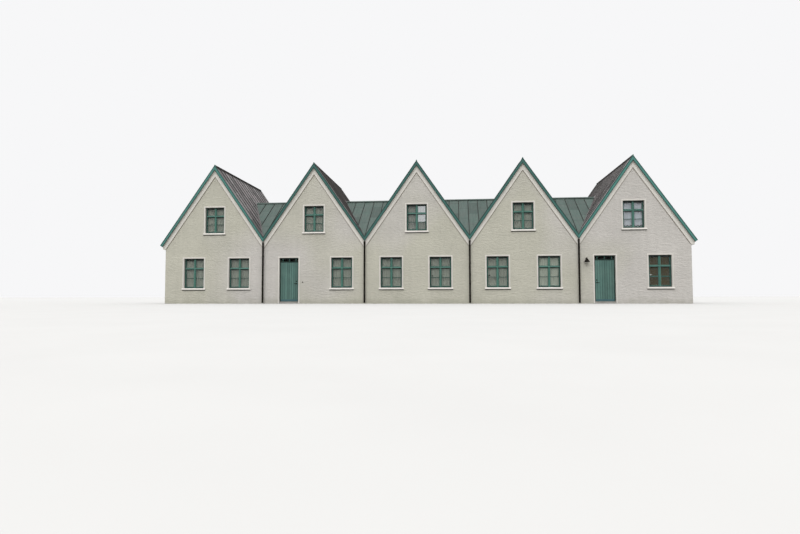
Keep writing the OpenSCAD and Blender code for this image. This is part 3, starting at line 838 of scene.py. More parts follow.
@dataclass(frozen=True)
class SheetRoof(Finish):
    """Weathered sheet metal: panels of their own tint, staggered cross seams and dark seams.

    The UV map gives the way across the panels and the way along the slope, in metres.
    """

    second: Colour = (0.2, 0.2, 0.2)
    seam: Colour = (0.02, 0.017, 0.014)
    course: float = 1.25
    bluish: Colour = (0.13, 0.17, 0.2)
    pinkish: Colour = (0.2, 0.15, 0.155)
    worn: Colour = (0.2, 0.235, 0.215)
    lapped: Colour = (0.03, 0.055, 0.045)
    ridge_shadow_colour: Colour = (0.012, 0.009, 0.008)
    spread: float = 0.18
    ridge_shadow_width: float = 0.0

    def material(self) -> Material:
        """Make the material.

        Returns:
            The material.
        """
        g = Graph(self.name)
        p = g.place()
        uv = g.uv()
        across, along, _ = g.axes(uv)
        panel = g.math("DIVIDE", across, HOUSE.seam_step)
        column = g.math("FLOOR", panel)
        odd = g.math("MODULO", g.math("ABSOLUTE", column), 2.0)
        rows = g.math("DIVIDE", g.math("ADD", along, g.math("MULTIPLY", odd, self.course / 2)),
                      self.course)
        number = g.node("CombineXYZ", i0=column, i1=g.math("FLOOR", rows), i2=3.7).outputs[0]
        tint = g.node("TexWhiteNoise", Vector=number).outputs[0]
        blotch = g.noise(p, 2.2, 5, 0.62)
        wash = g.node("CombineXYZ", i0=g.math("MULTIPLY", across, 11.0),
                      i1=g.math("MULTIPLY", along, 0.9), i2=0.0).outputs[0]
        runs = g.noise(wash, 1.0, 4)
        colour = g.mix(g.span(blotch, 0.32, 0.68), self.colour, self.second)
        colour = g.shade(colour, g.span(tint, 0.0, 1.0, 1 - self.spread, 1 + self.spread))
        colour = g.vary(colour, runs, 0.88, 1.1)
        blue = g.span(g.noise(p, 26.0, 2), 0.6, 0.72, 0.0, 0.5)
        pink = g.span(g.noise(p, 33.0, 1), 0.64, 0.76, 0.0, 0.5)
        colour = g.mix(blue, colour, self.bluish)
        colour = g.mix(pink, colour, self.pinkish)
        pale = g.span(g.noise(p, 5.5, 6, 0.75), 0.6, 0.75, 0.0, 0.45)
        colour = g.mix(pale, colour, self.worn)
        cross = self.near_line(g, rows, self.course)
        upright = self.near_line(g, panel, HOUSE.seam_step)
        colour = g.mix(g.span(cross, 0.016, 0.008, 0.0, 0.8), colour, self.lapped)
        # Dark at the standing seams: dark patina there, and painted shade at their feet.
        colour = g.mix(g.span(upright, 0.024, 0.013, 0.0, 0.85), colour, self.seam)
        # Painted shadow strip beside the ridge cap.
        if self.ridge_shadow_width > 0:
            colour = self.ridge_shadow(g, colour, p)
        lap = g.span(cross, 0.0, 0.02)
        relief = g.bump(g.noise(p, 7.0, 3), 0.004, 0.4)
        relief = g.bump(lap, 0.004, 0.8, relief)
        relief = g.bump(g.noise(p, 120.0, 3), 0.0006, 0.5, relief)
        rough = g.span(blotch, *MIDDLE, 0.5, 0.72)
        shader = g.node("BsdfPrincipled", Base_Color=colour, Roughness=rough, Normal=relief,
                        Metallic=0.1, Specular_IOR_Level=0.3)
        return g.finish(shader)

    def ridge_shadow(self, g: Graph, colour: Socket, p: Socket) -> Socket:
        """Paint a strip of shadow on the sheets beside the ridge cap.

        The way from a ridge is half a gable's width less the way from the nearest valley.

        Args:
            g: The material's graph.
            colour: Colour of the sheets.
            p: Place in the house's frame.

        Returns:
            The colour with its dark strip.
        """
        shifted = g.math("ADD", g.axes(p)[0], HOUSE.end_x)
        from_valley = g.math("PINGPONG", shifted, HOUSE.gable_w / 2)
        from_ridge = g.math("SUBTRACT", HOUSE.gable_w / 2, from_valley)
        share = g.span(from_ridge, self.ridge_shadow_width + 0.015, self.ridge_shadow_width, 0.0, 0.9)
        return g.mix(share, colour, self.ridge_shadow_colour)

    @staticmethod
    def near_line(g: Graph, value: Socket, step: float) -> Socket:
        """Distance in metres to the nearest whole number of steps."""
        part = g.math("FRACT", g.math("ADD", value, 0.5))
        return g.math("MULTIPLY", g.math("ABSOLUTE", g.math("SUBTRACT", part, 0.5)), step)


@dataclass(frozen=True)
class DarkMetal(Finish):
    """Near-black painted metal, lighter and darker in patches, and rusty in spots."""

    rusty: Colour = (0.075, 0.035, 0.018)

    def material(self) -> Material:
        """Make the material.

        Returns:
            The material.
        """
        g = Graph(self.name)
        p = g.place()
        colour = g.vary(self.colour, g.noise(p, 6.0, 4), 0.75, 1.35)
        rust = g.span(g.noise(p, 9.0, 6, 0.7), 0.62, 0.78, 0.0, 0.5)
        colour = g.mix(rust, colour, self.rusty)
        relief = g.bump(g.noise(p, 80.0, 3), 0.0007, 0.5)
        rough = g.span(g.noise(p, 12.0, 3), *MIDDLE, 0.6, 0.85)
        shader = g.node("BsdfPrincipled", Base_Color=colour, Roughness=rough, Normal=relief,
                        Specular_IOR_Level=0.08)
        return g.finish(shader)


@dataclass(frozen=True)
class Pane(Finish):
    """Thin window glass: clear head on, a mirror at a glancing look, and slightly wavy."""

    mirror: float = 0.02

    def material(self) -> Material:
        """Make the material.

        Returns:
            The material.
        """
        g = Graph(self.name)
        p = g.place()
        waves = g.bump(g.noise(p, 2.6, 2), 0.006, 0.25)
        facing = g.node("LayerWeight", Blend=0.5).outputs["Facing"]
        share = g.span(g.math("POWER", facing, 4.0), 0.0, 1.0, self.mirror, 0.95)
        clear = g.node("BsdfTransparent", Color=(*self.colour, 1))
        mirror = g.node("BsdfGlossy", Color=(0.95, 0.97, 0.98, 1), Roughness=0.02, Normal=waves)
        return g.finish(
            g.node("MixShader", i0=share, i1=clear.outputs[0], i2=mirror.outputs[0])
        )


@dataclass(frozen=True)
class Cloth(Finish):
    """Thin woven cloth that lets some light through."""

    threads: float = 700.0
    through: float = 0.3
    hem: float = 0.0
    hem_colour: Colour = (0.09, 0.05, 0.055)
    arc: float = 0.16

    def material(self) -> Material:
        """Make the material.

        Returns:
            The material.
        """
        g = Graph(self.name)
        uv = g.uv()
        across, along, _ = g.axes(uv)
        warp = g.math("SINE", g.math("MULTIPLY", across, self.threads * 2))
        weft = g.math("SINE", g.math("MULTIPLY", along, self.threads * 2))
        weave = g.span(g.math("MULTIPLY", warp, weft), -1.0, 1.0)
        soft = g.noise(g.stretch(uv, (30.0, 2.0, 1.0)), 1.0, 3)
        colour = g.shade(self.colour, g.span(weave, 0.0, 1.0, 0.9, 1.06))
        colour = g.vary(colour, soft, 0.93, 1.05)
        colour = g.shade(colour, g.span(g.tone(), 0.0, 1.0, 0.55, 1.45))
        if self.hem > 0:
            colour = self.scallops(g, colour, across, along)
        relief = g.bump(weave, 0.0003, 0.6)
        front = g.node("BsdfDiffuse", Color=colour, Roughness=0.9, Normal=relief)
        back = g.node("BsdfTranslucent", Color=colour)
        return g.finish(
            g.node("MixShader", i0=self.through, i1=front.outputs[0], i2=back.outputs[0])
        )

    def scallops(self, g: Graph, colour: Socket, across: Socket, along: Socket) -> Socket:
        """Draw a ribbon of another colour near the hem, in arcs 160 mm wide.

        The ribbon's middle lies at the hem's place less the size of a sine of the way across,
        and the colour fades over a centimetre from its edges.

        Args:
            g: The material's graph.
            colour: Colour of the cloth.
            across: Way across the cloth.
            along: Way down the cloth.

        Returns:
            The colour with its ribbon.
        """
        wave = g.math("ABSOLUTE", g.math("SINE", g.math("MULTIPLY", across, math.pi / self.arc)))
        middle = g.math("SUBTRACT", self.hem, g.math("MULTIPLY", wave, 0.06))
        away = g.math("ABSOLUTE", g.math("SUBTRACT", along, middle))
        return g.mix(g.span(away, 0.034, 0.02, 0.0, 0.9), colour, self.hem_colour)


def once(finish: Finish) -> Material:
    """A field whose value is the finish's material, made with the palette."""
    return field(default_factory=finish.material)


@dataclass(frozen=True)
class Palette:
    """The materials of the house, each made once."""

    walls: Material = once(Roughcast("roughcast", (0.53, 0.51, 0.485)))
    bands: Material = once(Plaster("plaster_bands", (0.66, 0.638, 0.597)))
    surrounds: Material = once(Plaster("plaster_surrounds", (0.6, 0.578, 0.54)))
    sills: Material = once(Plaster("plaster_sills", (0.72, 0.695, 0.66)))
    # Near-black plaster for the painted shadow under the sills.
    sill_shadow: Material = once(Plaster("sill_painted_shadow", (0.026, 0.024, 0.017)))
    concrete: Material = once(Concrete("concrete", (0.3, 0.29, 0.27)))
    timber: Material = once(SawnTimber("timber", (0.27, 0.19, 0.12)))
    gable_roof: Material = once(SheetRoof(
        "gable_sheets", (0.135, 0.138, 0.135), second=(0.235, 0.205, 0.212), spread=0.36,
        worn=(0.33, 0.34, 0.335), ridge_shadow_width=0.115))
    saddle_roof: Material = once(SheetRoof(
        "saddle_sheets", (0.064, 0.107, 0.091), second=(0.092, 0.12, 0.108)))
    verge: Material = once(Paint(
        "verge_teal", (0.054, 0.172, 0.15), low_tone=0.2, high_tone=1.25, dusty=0.04))
    frames: Material = once(Paint(
        "frame_teal", (0.06, 0.16, 0.13), roughness=0.42, low_tone=0.04, high_tone=1.25,
        dusty=0.05))
    # Near-black jambs: dark paint, and painted shade of the door recess.
    jambs: Material = once(Paint("jamb_green", (0.011, 0.03, 0.024), roughness=0.45, dusty=0.04))
    door: Material = once(Paint(
        "door_teal", (0.08, 0.162, 0.142), roughness=0.55, low_tone=0.2, high_tone=1.3))
    kick: Material = once(Paint(
        "kick_plate", (0.05, 0.115, 0.13), roughness=0.4, grain=(6.0, 6.0, 6.0)))
    dark: Material = once(DarkMetal("dark_metal", (0.011, 0.0095, 0.0075)))
    glass: Material = once(Pane("window_glass", (0.93, 0.95, 0.945)))
    sky_glass: Material = once(Pane("sky_glass", (0.93, 0.95, 0.945), mirror=0.32))
    # Door lights tinted dark: painted shade of the unlit room behind them.
    door_glass: Material = once(Pane("door_glass", (0.6, 0.64, 0.62), mirror=0.006))
    bulb: Material = once(Plaster("bulb_white", (0.75, 0.74, 0.7)))
    net: Material = once(Cloth("net_curtain", (0.485, 0.495, 0.435)))
    white_net: Material = once(Cloth("white_net", (0.46, 0.465, 0.43)))
    blind: Material = once(Cloth("brown_blind", (0.095, 0.07, 0.026), through=0.1))
    lilac: Material = once(Cloth("lilac_curtain", (0.72, 0.72, 0.78), hem=1.232))


def dress(nodes: list[str], material: Material) -> None:
    """Give CAD nodes their material.

    Args:
        nodes: Names of the nodes.
        material: The material.
    """
    for name in nodes:
        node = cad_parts[name]
        if not node.material_slots:
            node.data.materials.append(material)
        for slot in node.material_slots:
            slot.material = material


# --- roofs


@dataclass
class RoofSheets:
    """Sheet metal covering of the gable roofs and the saddles, with standing seams."""

    palette: Palette
    seam_base: float = 0.012
    seam_top: float = 0.007
    valley_clear: float = 0.04
    ridge_clear: float = 0.075
    rows: int = 21
    under: float = 0.0072
    dishing: float = 0.0022

    def section(self, reach: float, seams: int) -> tuple[Array, Array, Array]:
        """Section across the panels: flat sheet between seams of rounded top.

        Args:
            reach: Half the width of the covering.
            seams: Seams on each side of the middle one.

        Returns:
            Way across, height of a seam over the sheet, and share of the panel's own dishing.
        """
        b, t, h = self.seam_base, self.seam_top, HOUSE.seam_h
        seam = np.array([[-b, 0], [-t - 0.001, 0.005], [-t, h - 0.007], [-t * 0.7, h - 0.0015],
                         [0, h], [t * 0.7, h - 0.0015], [t, h - 0.007], [t + 0.001, 0.005], [b, 0]])
        middles = np.arange(-seams, seams + 1) * HOUSE.seam_step
        edges = np.concatenate([[-reach], middles, [reach]])
        across, rise, dish = [], [], []
        for i in range(len(edges) - 1):
            low = edges[i] + (b if i > 0 else 0)
            high = edges[i + 1] - (b if i < len(edges) - 2 else 0)
            t = np.linspace(0, 1, 5)
            inner = t if i == 0 else t[1:]
            inner = inner if i == len(edges) - 2 else inner[:-1]
            across.append(low + (high - low) * inner)
            rise.append(np.zeros(len(inner)))
            dish.append(np.sin(math.pi * inner))
            if i < len(edges) - 2:
                across.append(edges[i + 1] + seam[:, 0])
                rise.append(seam[:, 1])
                dish.append(np.zeros(len(seam)))
        return np.concatenate(across), np.concatenate(rise), np.concatenate(dish)

    @staticmethod
    def slab(parts: MeshParts, top: Array, bottom: Array, uv: Array) -> None:
        """Closed sheet between a grid of upper points and a grid of lower points.

        Args:
            parts: Piece that the sheet goes to.
            top: Upper points.
            bottom: Lower points.
            uv: Way across and along for each.
        """
        ring = np.concatenate([top, bottom[::-1]], 0).transpose(1, 0, 2)
        flat = np.concatenate([uv, uv[::-1]], 0).transpose(1, 0, 2)
        n, k = ring.shape[:2]
        half = k // 2
        strip = np.arange(half - 1)
        cap = np.stack([strip, strip + 1, k - 2 - strip, k - 1 - strip], -1)
        faces = [grid_faces(n, k, wrap_cols=True), cap, cap + (n - 1) * k]
        parts.add(ring, faces, 0.5, flat)

    def gable(self, n: int) -> bpy.types.Object:
        """Covering of gable n.

        A point at the share v of the way from the foot to the ridge lies at the roof's height
        plus the seam's or the dished sheet's height, square to the slope. Seams start at the
        valley, or above the saddle that fills it.

        Args:
            n: Number of the gable, from 1 on the left.

        Returns:
            The finished piece.
        """
        parts = MeshParts()
        y, rise, dish = self.section(HOUSE.roof_y, 6)
        first, last = n == 1, n == HOUSE.gables
        for way in (-1, 1):
            at_eaves = (first and way < 0) or (last and way > 0)
            mid = HOUSE.mid_x(n)
            span = HOUSE.gable_w / 2 + (HOUSE.eaves_out if at_eaves else 0)
            v = np.linspace(0, 1, self.rows)
            from_foot = span * v[None, :] + 0 * y[:, None]
            x = mid + way * (span - from_foot)
            inward = np.maximum(HOUSE.face_y - np.abs(y), 0) * HOUSE.fall
            start = 0 * y if at_eaves else inward / HOUSE.slope + self.valley_clear
            share = np.clip((from_foot - start[:, None]) / 0.03, 0, 1)
            if at_eaves:
                share = np.ones_like(share)
            share = share * np.clip((span - self.ridge_clear + 0.02 - from_foot) / 0.02, 0, 1)
            waves = self.dishing * ripple(7 * y[:, None], 5 * from_foot, 10 * n + way)
            height = rise[:, None] * share + dish[:, None] * waves
            height = np.minimum(height, HOUSE.seam_h)
            level = HOUSE.roof_at(n, x)
            grid_y = np.broadcast_to(y[:, None], x.shape)
            top = np.stack([x, grid_y, level + height * HOUSE.plumb], -1)
            bottom = np.stack([x, grid_y, level - self.under * HOUSE.plumb], -1)
            uv = np.stack([grid_y, from_foot * HOUSE.plumb + 0.4 * n + 0.3 * way], -1)
            self.slab(parts, top, bottom, uv)
        return parts.build(
            f"gable_sheets_{n}", [self.palette.gable_roof], Slot.ROOF,
            replaces=("roof_metal",))

    def saddle(self, k: int) -> bpy.types.Object:
        """Covering of the saddle in valley k.

        Both slopes run from the line where they meet the gable roofs up to the saddle's ridge.
        At x from the valley, that line stands in from the wall face by x times the gable's
        slope over the saddle's slope.

        Args:
            k: Number of the valley, from 1 on the left.

        Returns:
            The finished piece.
        """
        parts = MeshParts()
        reach = HOUSE.saddle_rise / HOUSE.slope
        x, rise, dish = self.section(reach - 0.002, 3)
        v = np.linspace(0, 1, self.rows)
        length = HOUSE.face_y - np.abs(x) * HOUSE.slope / HOUSE.fall
        for way in (-1, 1):
            run = length[:, None] * v[None, :]
            y = way * (length[:, None] - run)
            share = np.clip((run - 0.05) / 0.05, 0, 1)
            share = share * np.clip((length[:, None] - run - 0.02) / 0.03, 0, 1)
            waves = self.dishing * ripple(6 * x[:, None], 5 * run, 70 + 10 * k + way)
            height = rise[:, None] * share + dish[:, None] * waves
            level = HOUSE.valley_z + (HOUSE.face_y - np.abs(y)) * HOUSE.fall
            grid_x = np.broadcast_to(HOUSE.valley_x(k) + x[:, None], y.shape)
            top = np.stack([grid_x, y, level + height * HOUSE.lift], -1)
            bottom = np.stack([grid_x, y, level - self.under * HOUSE.lift], -1)
            from_ridge = np.abs(y) * HOUSE.lift
            uv = np.stack([grid_x - HOUSE.valley_x(k), from_ridge + 0.28 * k - 0.04], -1)
            self.slab(parts, top, bottom, uv)
        self.flashings(parts, k)
        return parts.build(
            f"saddle_sheets_{k}", [self.palette.saddle_roof, self.palette.gable_roof], Slot.ROOF,
            replaces=("saddle_metal",))

    def flashings(self, parts: MeshParts, k: int) -> None:
        """Bent strips that line the two valleys between a saddle and the gable roofs.

        Each strip follows the line where the two roofs meet, a little proud of the gable roof.

        Args:
            parts: Piece that the strips go to.
            k: Number of the valley.
        """
        section = np.array(
            [[-0.01, 0.0], [0.09, 0.0], [0.092, 0.004], [0.09, 0.0075], [-0.01, 0.0075]])
        for side in (-1, 1):
            for way in (-1, 1):
                run = np.linspace(0.02, HOUSE.face_y - 0.002, 24)
                out = run * HOUSE.fall / HOUSE.slope
                across = out[:, None] + section[None, :, 0]
                x = HOUSE.valley_x(k) + side * across
                z = HOUSE.valley_z + across * HOUSE.slope + section[None, :, 1] * HOUSE.plumb
                y = np.broadcast_to(way * (HOUSE.face_y - run)[:, None], x.shape)
                uv = np.stack([np.full(x.shape, 0.25), np.full(x.shape, 0.6)], -1)
                parts.sweep(np.stack([x, y, z], -1), 0.3, uv, finish=1)

    def build(self) -> None:
        """Cover every gable and saddle."""
        for n in range(1, HOUSE.gables + 1):
            self.gable(n)
        for k in range(1, HOUSE.gables):
            self.saddle(k)


@dataclass
class Verges:
    """Verge boards in a zigzag along the front and the back, with folded metal edges."""

    palette: Palette
    lip: float = 0.014
    mitre: float = 0.001
    middle_shade: float = 0.54

    def profile(self) -> tuple[Array, Array]:
        """Section as way out of the wall, and plumb drop from the roof, with its tones.

        Returns:
            Points of the section, and the tone of each.
        """
        low = HOUSE.roof_v
        section = np.array([
            [-0.120, 0.030], [-0.120, -0.012], [-0.1175, -self.lip], [-0.092, -self.lip],
            [-0.090, -0.012], [-0.090, low - 0.001], [-0.118, low - 0.001], [-0.120, low - 0.004],
            [-0.120, low - 0.028], [-0.1155, low - 0.031], [-0.1155, low - 0.1], [-0.1155, 0.1],
            [-0.1155, 0.034]])
        # Bright face, darker folded top lip, and a dark underside as painted shade under the drip.
        tone = np.array([0.15, 0.15, 0.15, 0.2, 0.2, 0.2, 0.1, 0.1, 0.15, 0.4, 0.95, 0.95, 0.4])
        return section, tone

    def square_cut(self, drop: Array) -> Array:
        """Way back along X, at a plumb drop from the lip, of an end cut square to the slope."""
        return (drop + self.lip) * math.sin(HOUSE.pitch) * math.cos(HOUSE.pitch)

    def build(self) -> None:
        """Draw the section along each leg, from its foot up to the ridge."""
        section, tone = self.profile()
        for side in (Side.FRONT, Side.BACK):
            parts = MeshParts()
            for n in range(1, HOUSE.gables + 1):
                for way in (-1, 1):
                    at_end = (n == 1 and way < 0) or (n == HOUSE.gables and way > 0)
                    reach = HOUSE.gable_w / 2 - self.mitre + (HOUSE.board_end if at_end else 0)
                    foot = reach - (self.square_cut(section[:, 1]) if at_end else 0)
                    share = np.linspace(1, 0, 13)
                    t = self.mitre + (foot - self.mitre) * share[:, None] + 0 * section[None, :, 0]
                    x = HOUSE.mid_x(n) + way * t
                    z = HOUSE.roof_at(n, x) - section[None, :, 1]
                    y = np.broadcast_to(section[None, :, 0], x.shape)
                    # Verges of the middle gables toned darker: painted shade.
                    sun = 1.0 if n in (1, HOUSE.gables) else self.middle_shade
                    shade = np.clip(sun * tone + 0.08 * ripple(t, n, 5), 0, 1)
                    parts.sweep(side.place(np.stack([x, y, z], -1)), shade)
            parts.build(f"verges_{side.name.lower()}", [self.palette.verge], Slot.VERGE,
                        replaces=("verge_boards",))


@dataclass
class RidgeCaps:
    """Rolled caps on the gable ridges, with painted ends, and bent strips on the saddles."""

    palette: Palette
    reach: float = 0.066
    roll: float = 0.0252
    thick: float = 0.006
    lap: float = 1.745
    sleeve: float = 0.07

    def outline(self, grow: float = 0.0) -> Array:
        """Section across a gable ridge from the apex: flanges, and a roll of two thirds round.

        Args:
            grow: How much larger the roll is drawn.

        Returns:
            Points of the section, in a ring.
        """
        angle = np.radians(np.linspace(-50, 230, 15))
        r = self.roll + grow
        roll = np.stack([r * np.cos(angle), self.thick + r * np.sin(angle)], -1)
        foot, lift = -self.reach * HOUSE.slope, self.thick * HOUSE.plumb + grow
        right, left = [[self.reach, foot + lift]], [[-self.reach, foot + lift]]
        inner = np.array([[-self.reach, foot], [0, 0], [self.reach, foot]])
        return np.concatenate([inner, right, roll, left])

    def build(self) -> None:
        """Sweep the section along each ridge, and a bent strip over each saddle."""
        caps, ends, strips = MeshParts(), MeshParts(), MeshParts()
        base = self.outline()
        y = np.linspace(-HOUSE.roof_y, HOUSE.roof_y, 61)
        lift = 0.0015 * np.mod(y + HOUSE.roof_y, self.lap) / self.lap
        for n in range(1, HOUSE.gables + 1):
            apex = np.array([HOUSE.mid_x(n), 0, HOUSE.apex_z + HOUSE.seat])
            ring = np.stack([base[None, :, 0] + 0 * y[:, None], y[:, None] + 0 * base[None, :, 0],
                             base[None, :, 1] + lift[:, None]], -1)
            caps.sweep(ring + apex)
            sleeve = self.outline(0.0024)
            for y0, y1 in ((-HOUSE.roof_y - HOUSE.board_t - 0.002, -HOUSE.roof_y + self.sleeve),
                           (HOUSE.roof_y - self.sleeve, HOUSE.roof_y + HOUSE.board_t + 0.002)):
                way = np.array([y0, y1])[:, None]
                ring = np.stack([sleeve[None, :, 0] + 0 * way, way + 0 * sleeve[None, :, 0],
                                 sleeve[None, :, 1] + 0.0002 + 0 * way], -1)
                ends.sweep(ring + apex, 0.6)
        for k in range(1, HOUSE.gables):
            self.strip(strips, k)
        caps.build("gable_ridge_caps", [self.palette.dark], Slot.DARK, replaces=("ridge_caps",))
        ends.build("ridge_cap_ends", [self.palette.verge], Slot.VERGE)
        strips.build("saddle_ridge_caps", [self.palette.saddle_roof], Slot.ROOF)

    def strip(self, parts: MeshParts, k: int) -> None:
        """Strip over saddle k, as long at each height as the room between the gable roofs.

        Args:
            parts: Piece that the strip goes to.
            k: Number of the valley.
        """
        y = np.array([-0.09, -0.09, -0.086, -0.012, 0.0, 0.012, 0.086, 0.09, 0.09, 0.0])
        up = np.array([0.0, 0.006, 0.009, 0.006, 0.0085, 0.006, 0.009, 0.006, 0.0, 0.0])
        top = HOUSE.valley_z + HOUSE.saddle_rise + (HOUSE.seam_h + HOUSE.seat) * HOUSE.lift
        z = top - np.abs(y) * HOUSE.fall + up * HOUSE.lift
        half = (z - HOUSE.valley_z - HOUSE.seam_h * HOUSE.plumb - 0.01) / HOUSE.slope
        t = np.linspace(-1, 1, 13)[:, None]
        x = HOUSE.valley_x(k) + t * half[None, :]
        points = np.stack([x, y[None, :] + 0 * x, z[None, :] + 0 * x], -1)
        parts.sweep(points, 0.5, np.stack([0.25 + 0 * x, 0.6 + 0 * x], -1))


# --- windows


@dataclass(frozen=True)
class Window:
    """One window: its side, middle along the wall, foot, width, height, curtain and its tone."""

    side: Side
    mid: float
    foot: float
    width: float
    height: float
    hang: Hang = Hang.NET
    catch: Catch = Catch.NONE
    cloth: float = 0.5

    @property
    def left(self) -> float:
        """Left edge of the opening."""
        return self.mid - self.width / 2

    @property
    def right(self) -> float:
        """Right edge of the opening."""
        return self.mid + self.width / 2

    @property
    def top(self) -> float:
        """Head of the opening."""
        return self.foot + self.height

    @property
    def name(self) -> str:
        """Short name from the side and place."""
        level = "up" if self.foot > HOUSE.upper_z else "low"
        return f"{self.side.name.lower()}_{level}_{round((self.mid + 20) * 10):03d}"


def all_windows() -> list[Window]:
    """Every window of the house, at the places of the part's source.

    Returns:
        The windows, gable by gable, with the ends' windows last.
    """
    low = dict(foot=0.79, width=1.08, height=1.54)
    up = dict(foot=3.64, width=1.02, height=1.34)
    left_shift, right_shift = (0.156, 0, -0.052, -0.032, 0), (0.102, 0.21, -0.058, -0.008, -0.058)
    off, found = 1.233, []
    for n in range(1, HOUSE.gables + 1):
        mid = HOUSE.mid_x(n)
        last = n == HOUSE.gables
        if n not in (2, HOUSE.gables):
            found.append(Window(Side.FRONT, mid - off + left_shift[n - 1], **low,
                                catch=Catch.DARK if n == 4 else Catch.NONE))
        catch = {3: Catch.DARK, 5: Catch.PALE}.get(n, Catch.NONE)
        found.append(Window(Side.FRONT, mid + off + right_shift[n - 1], **low,
                            hang=Hang.BLIND if last else Hang.NET, catch=catch,
                            cloth=0.95 if n == 4 else 0.5))
        hang = {3: Hang.WHITE, 5: Hang.LILAC}.get(n, Hang.NET)
        found.append(Window(Side.FRONT, mid, **up, hang=hang,
                            cloth=0.68 if hang is Hang.LILAC else 0.5))
        found += [Window(Side.BACK, mid - off, **low), Window(Side.BACK, mid + off, **low)]
        found.append(Window(Side.BACK, mid, **up))
    for side in (Side.LEFT, Side.RIGHT):
        found += [Window(side, -off, **low), Window(side, off, **low)]
    return found


def corners(edges: Four) -> Array:
    """Four corners of an oblong, from its lower left round by its lower right."""
    left, foot, right, top = edges
    return np.array([[left, foot], [right, foot], [right, top], [left, top]])


def frame_members(parts: MeshParts, outer: Four, inner: Four, section: Array, side: Side,
                  tones: Four, bevels: Four = (0, 0, 0, 0)) -> None:
    """Four mitred members of a frame, between an outer and an inner oblong.

    An oblong is left, foot, right and top. A point of the section at the share t of the
    width, and y behind the wall face, lies on the line from the outer to the inner corner.

    Args:
        parts: Piece that the frame goes to.
        outer: Outer edges.
        inner: Inner edges.
        section: Share of the width and depth of each point, in a ring.
        side: Side of the house.
        tones: Tones of the bottom, right, top and left member.
        bevels: What the inner edge of each member adds to its tone: painted light on the bottom
            rails, painted shade on the stiles.
    """
    a, b = corners(outer), corners(inner)
    t, y = section[:, 0], section[:, 1]
    flat = a[:, None] * (1 - t)[None, :, None] + b[:, None] * t[None, :, None]
    rings = np.stack([flat[..., 0], np.broadcast_to(y, flat.shape[:2]), flat[..., 1]], -1)
    for i, tone in enumerate(tones):
        ring_tone = np.tile(tone + bevels[i] * (t > 0.9), (2, 1))
        parts.sweep(side.place(rings[[i, (i + 1) % 4]]), ring_tone)


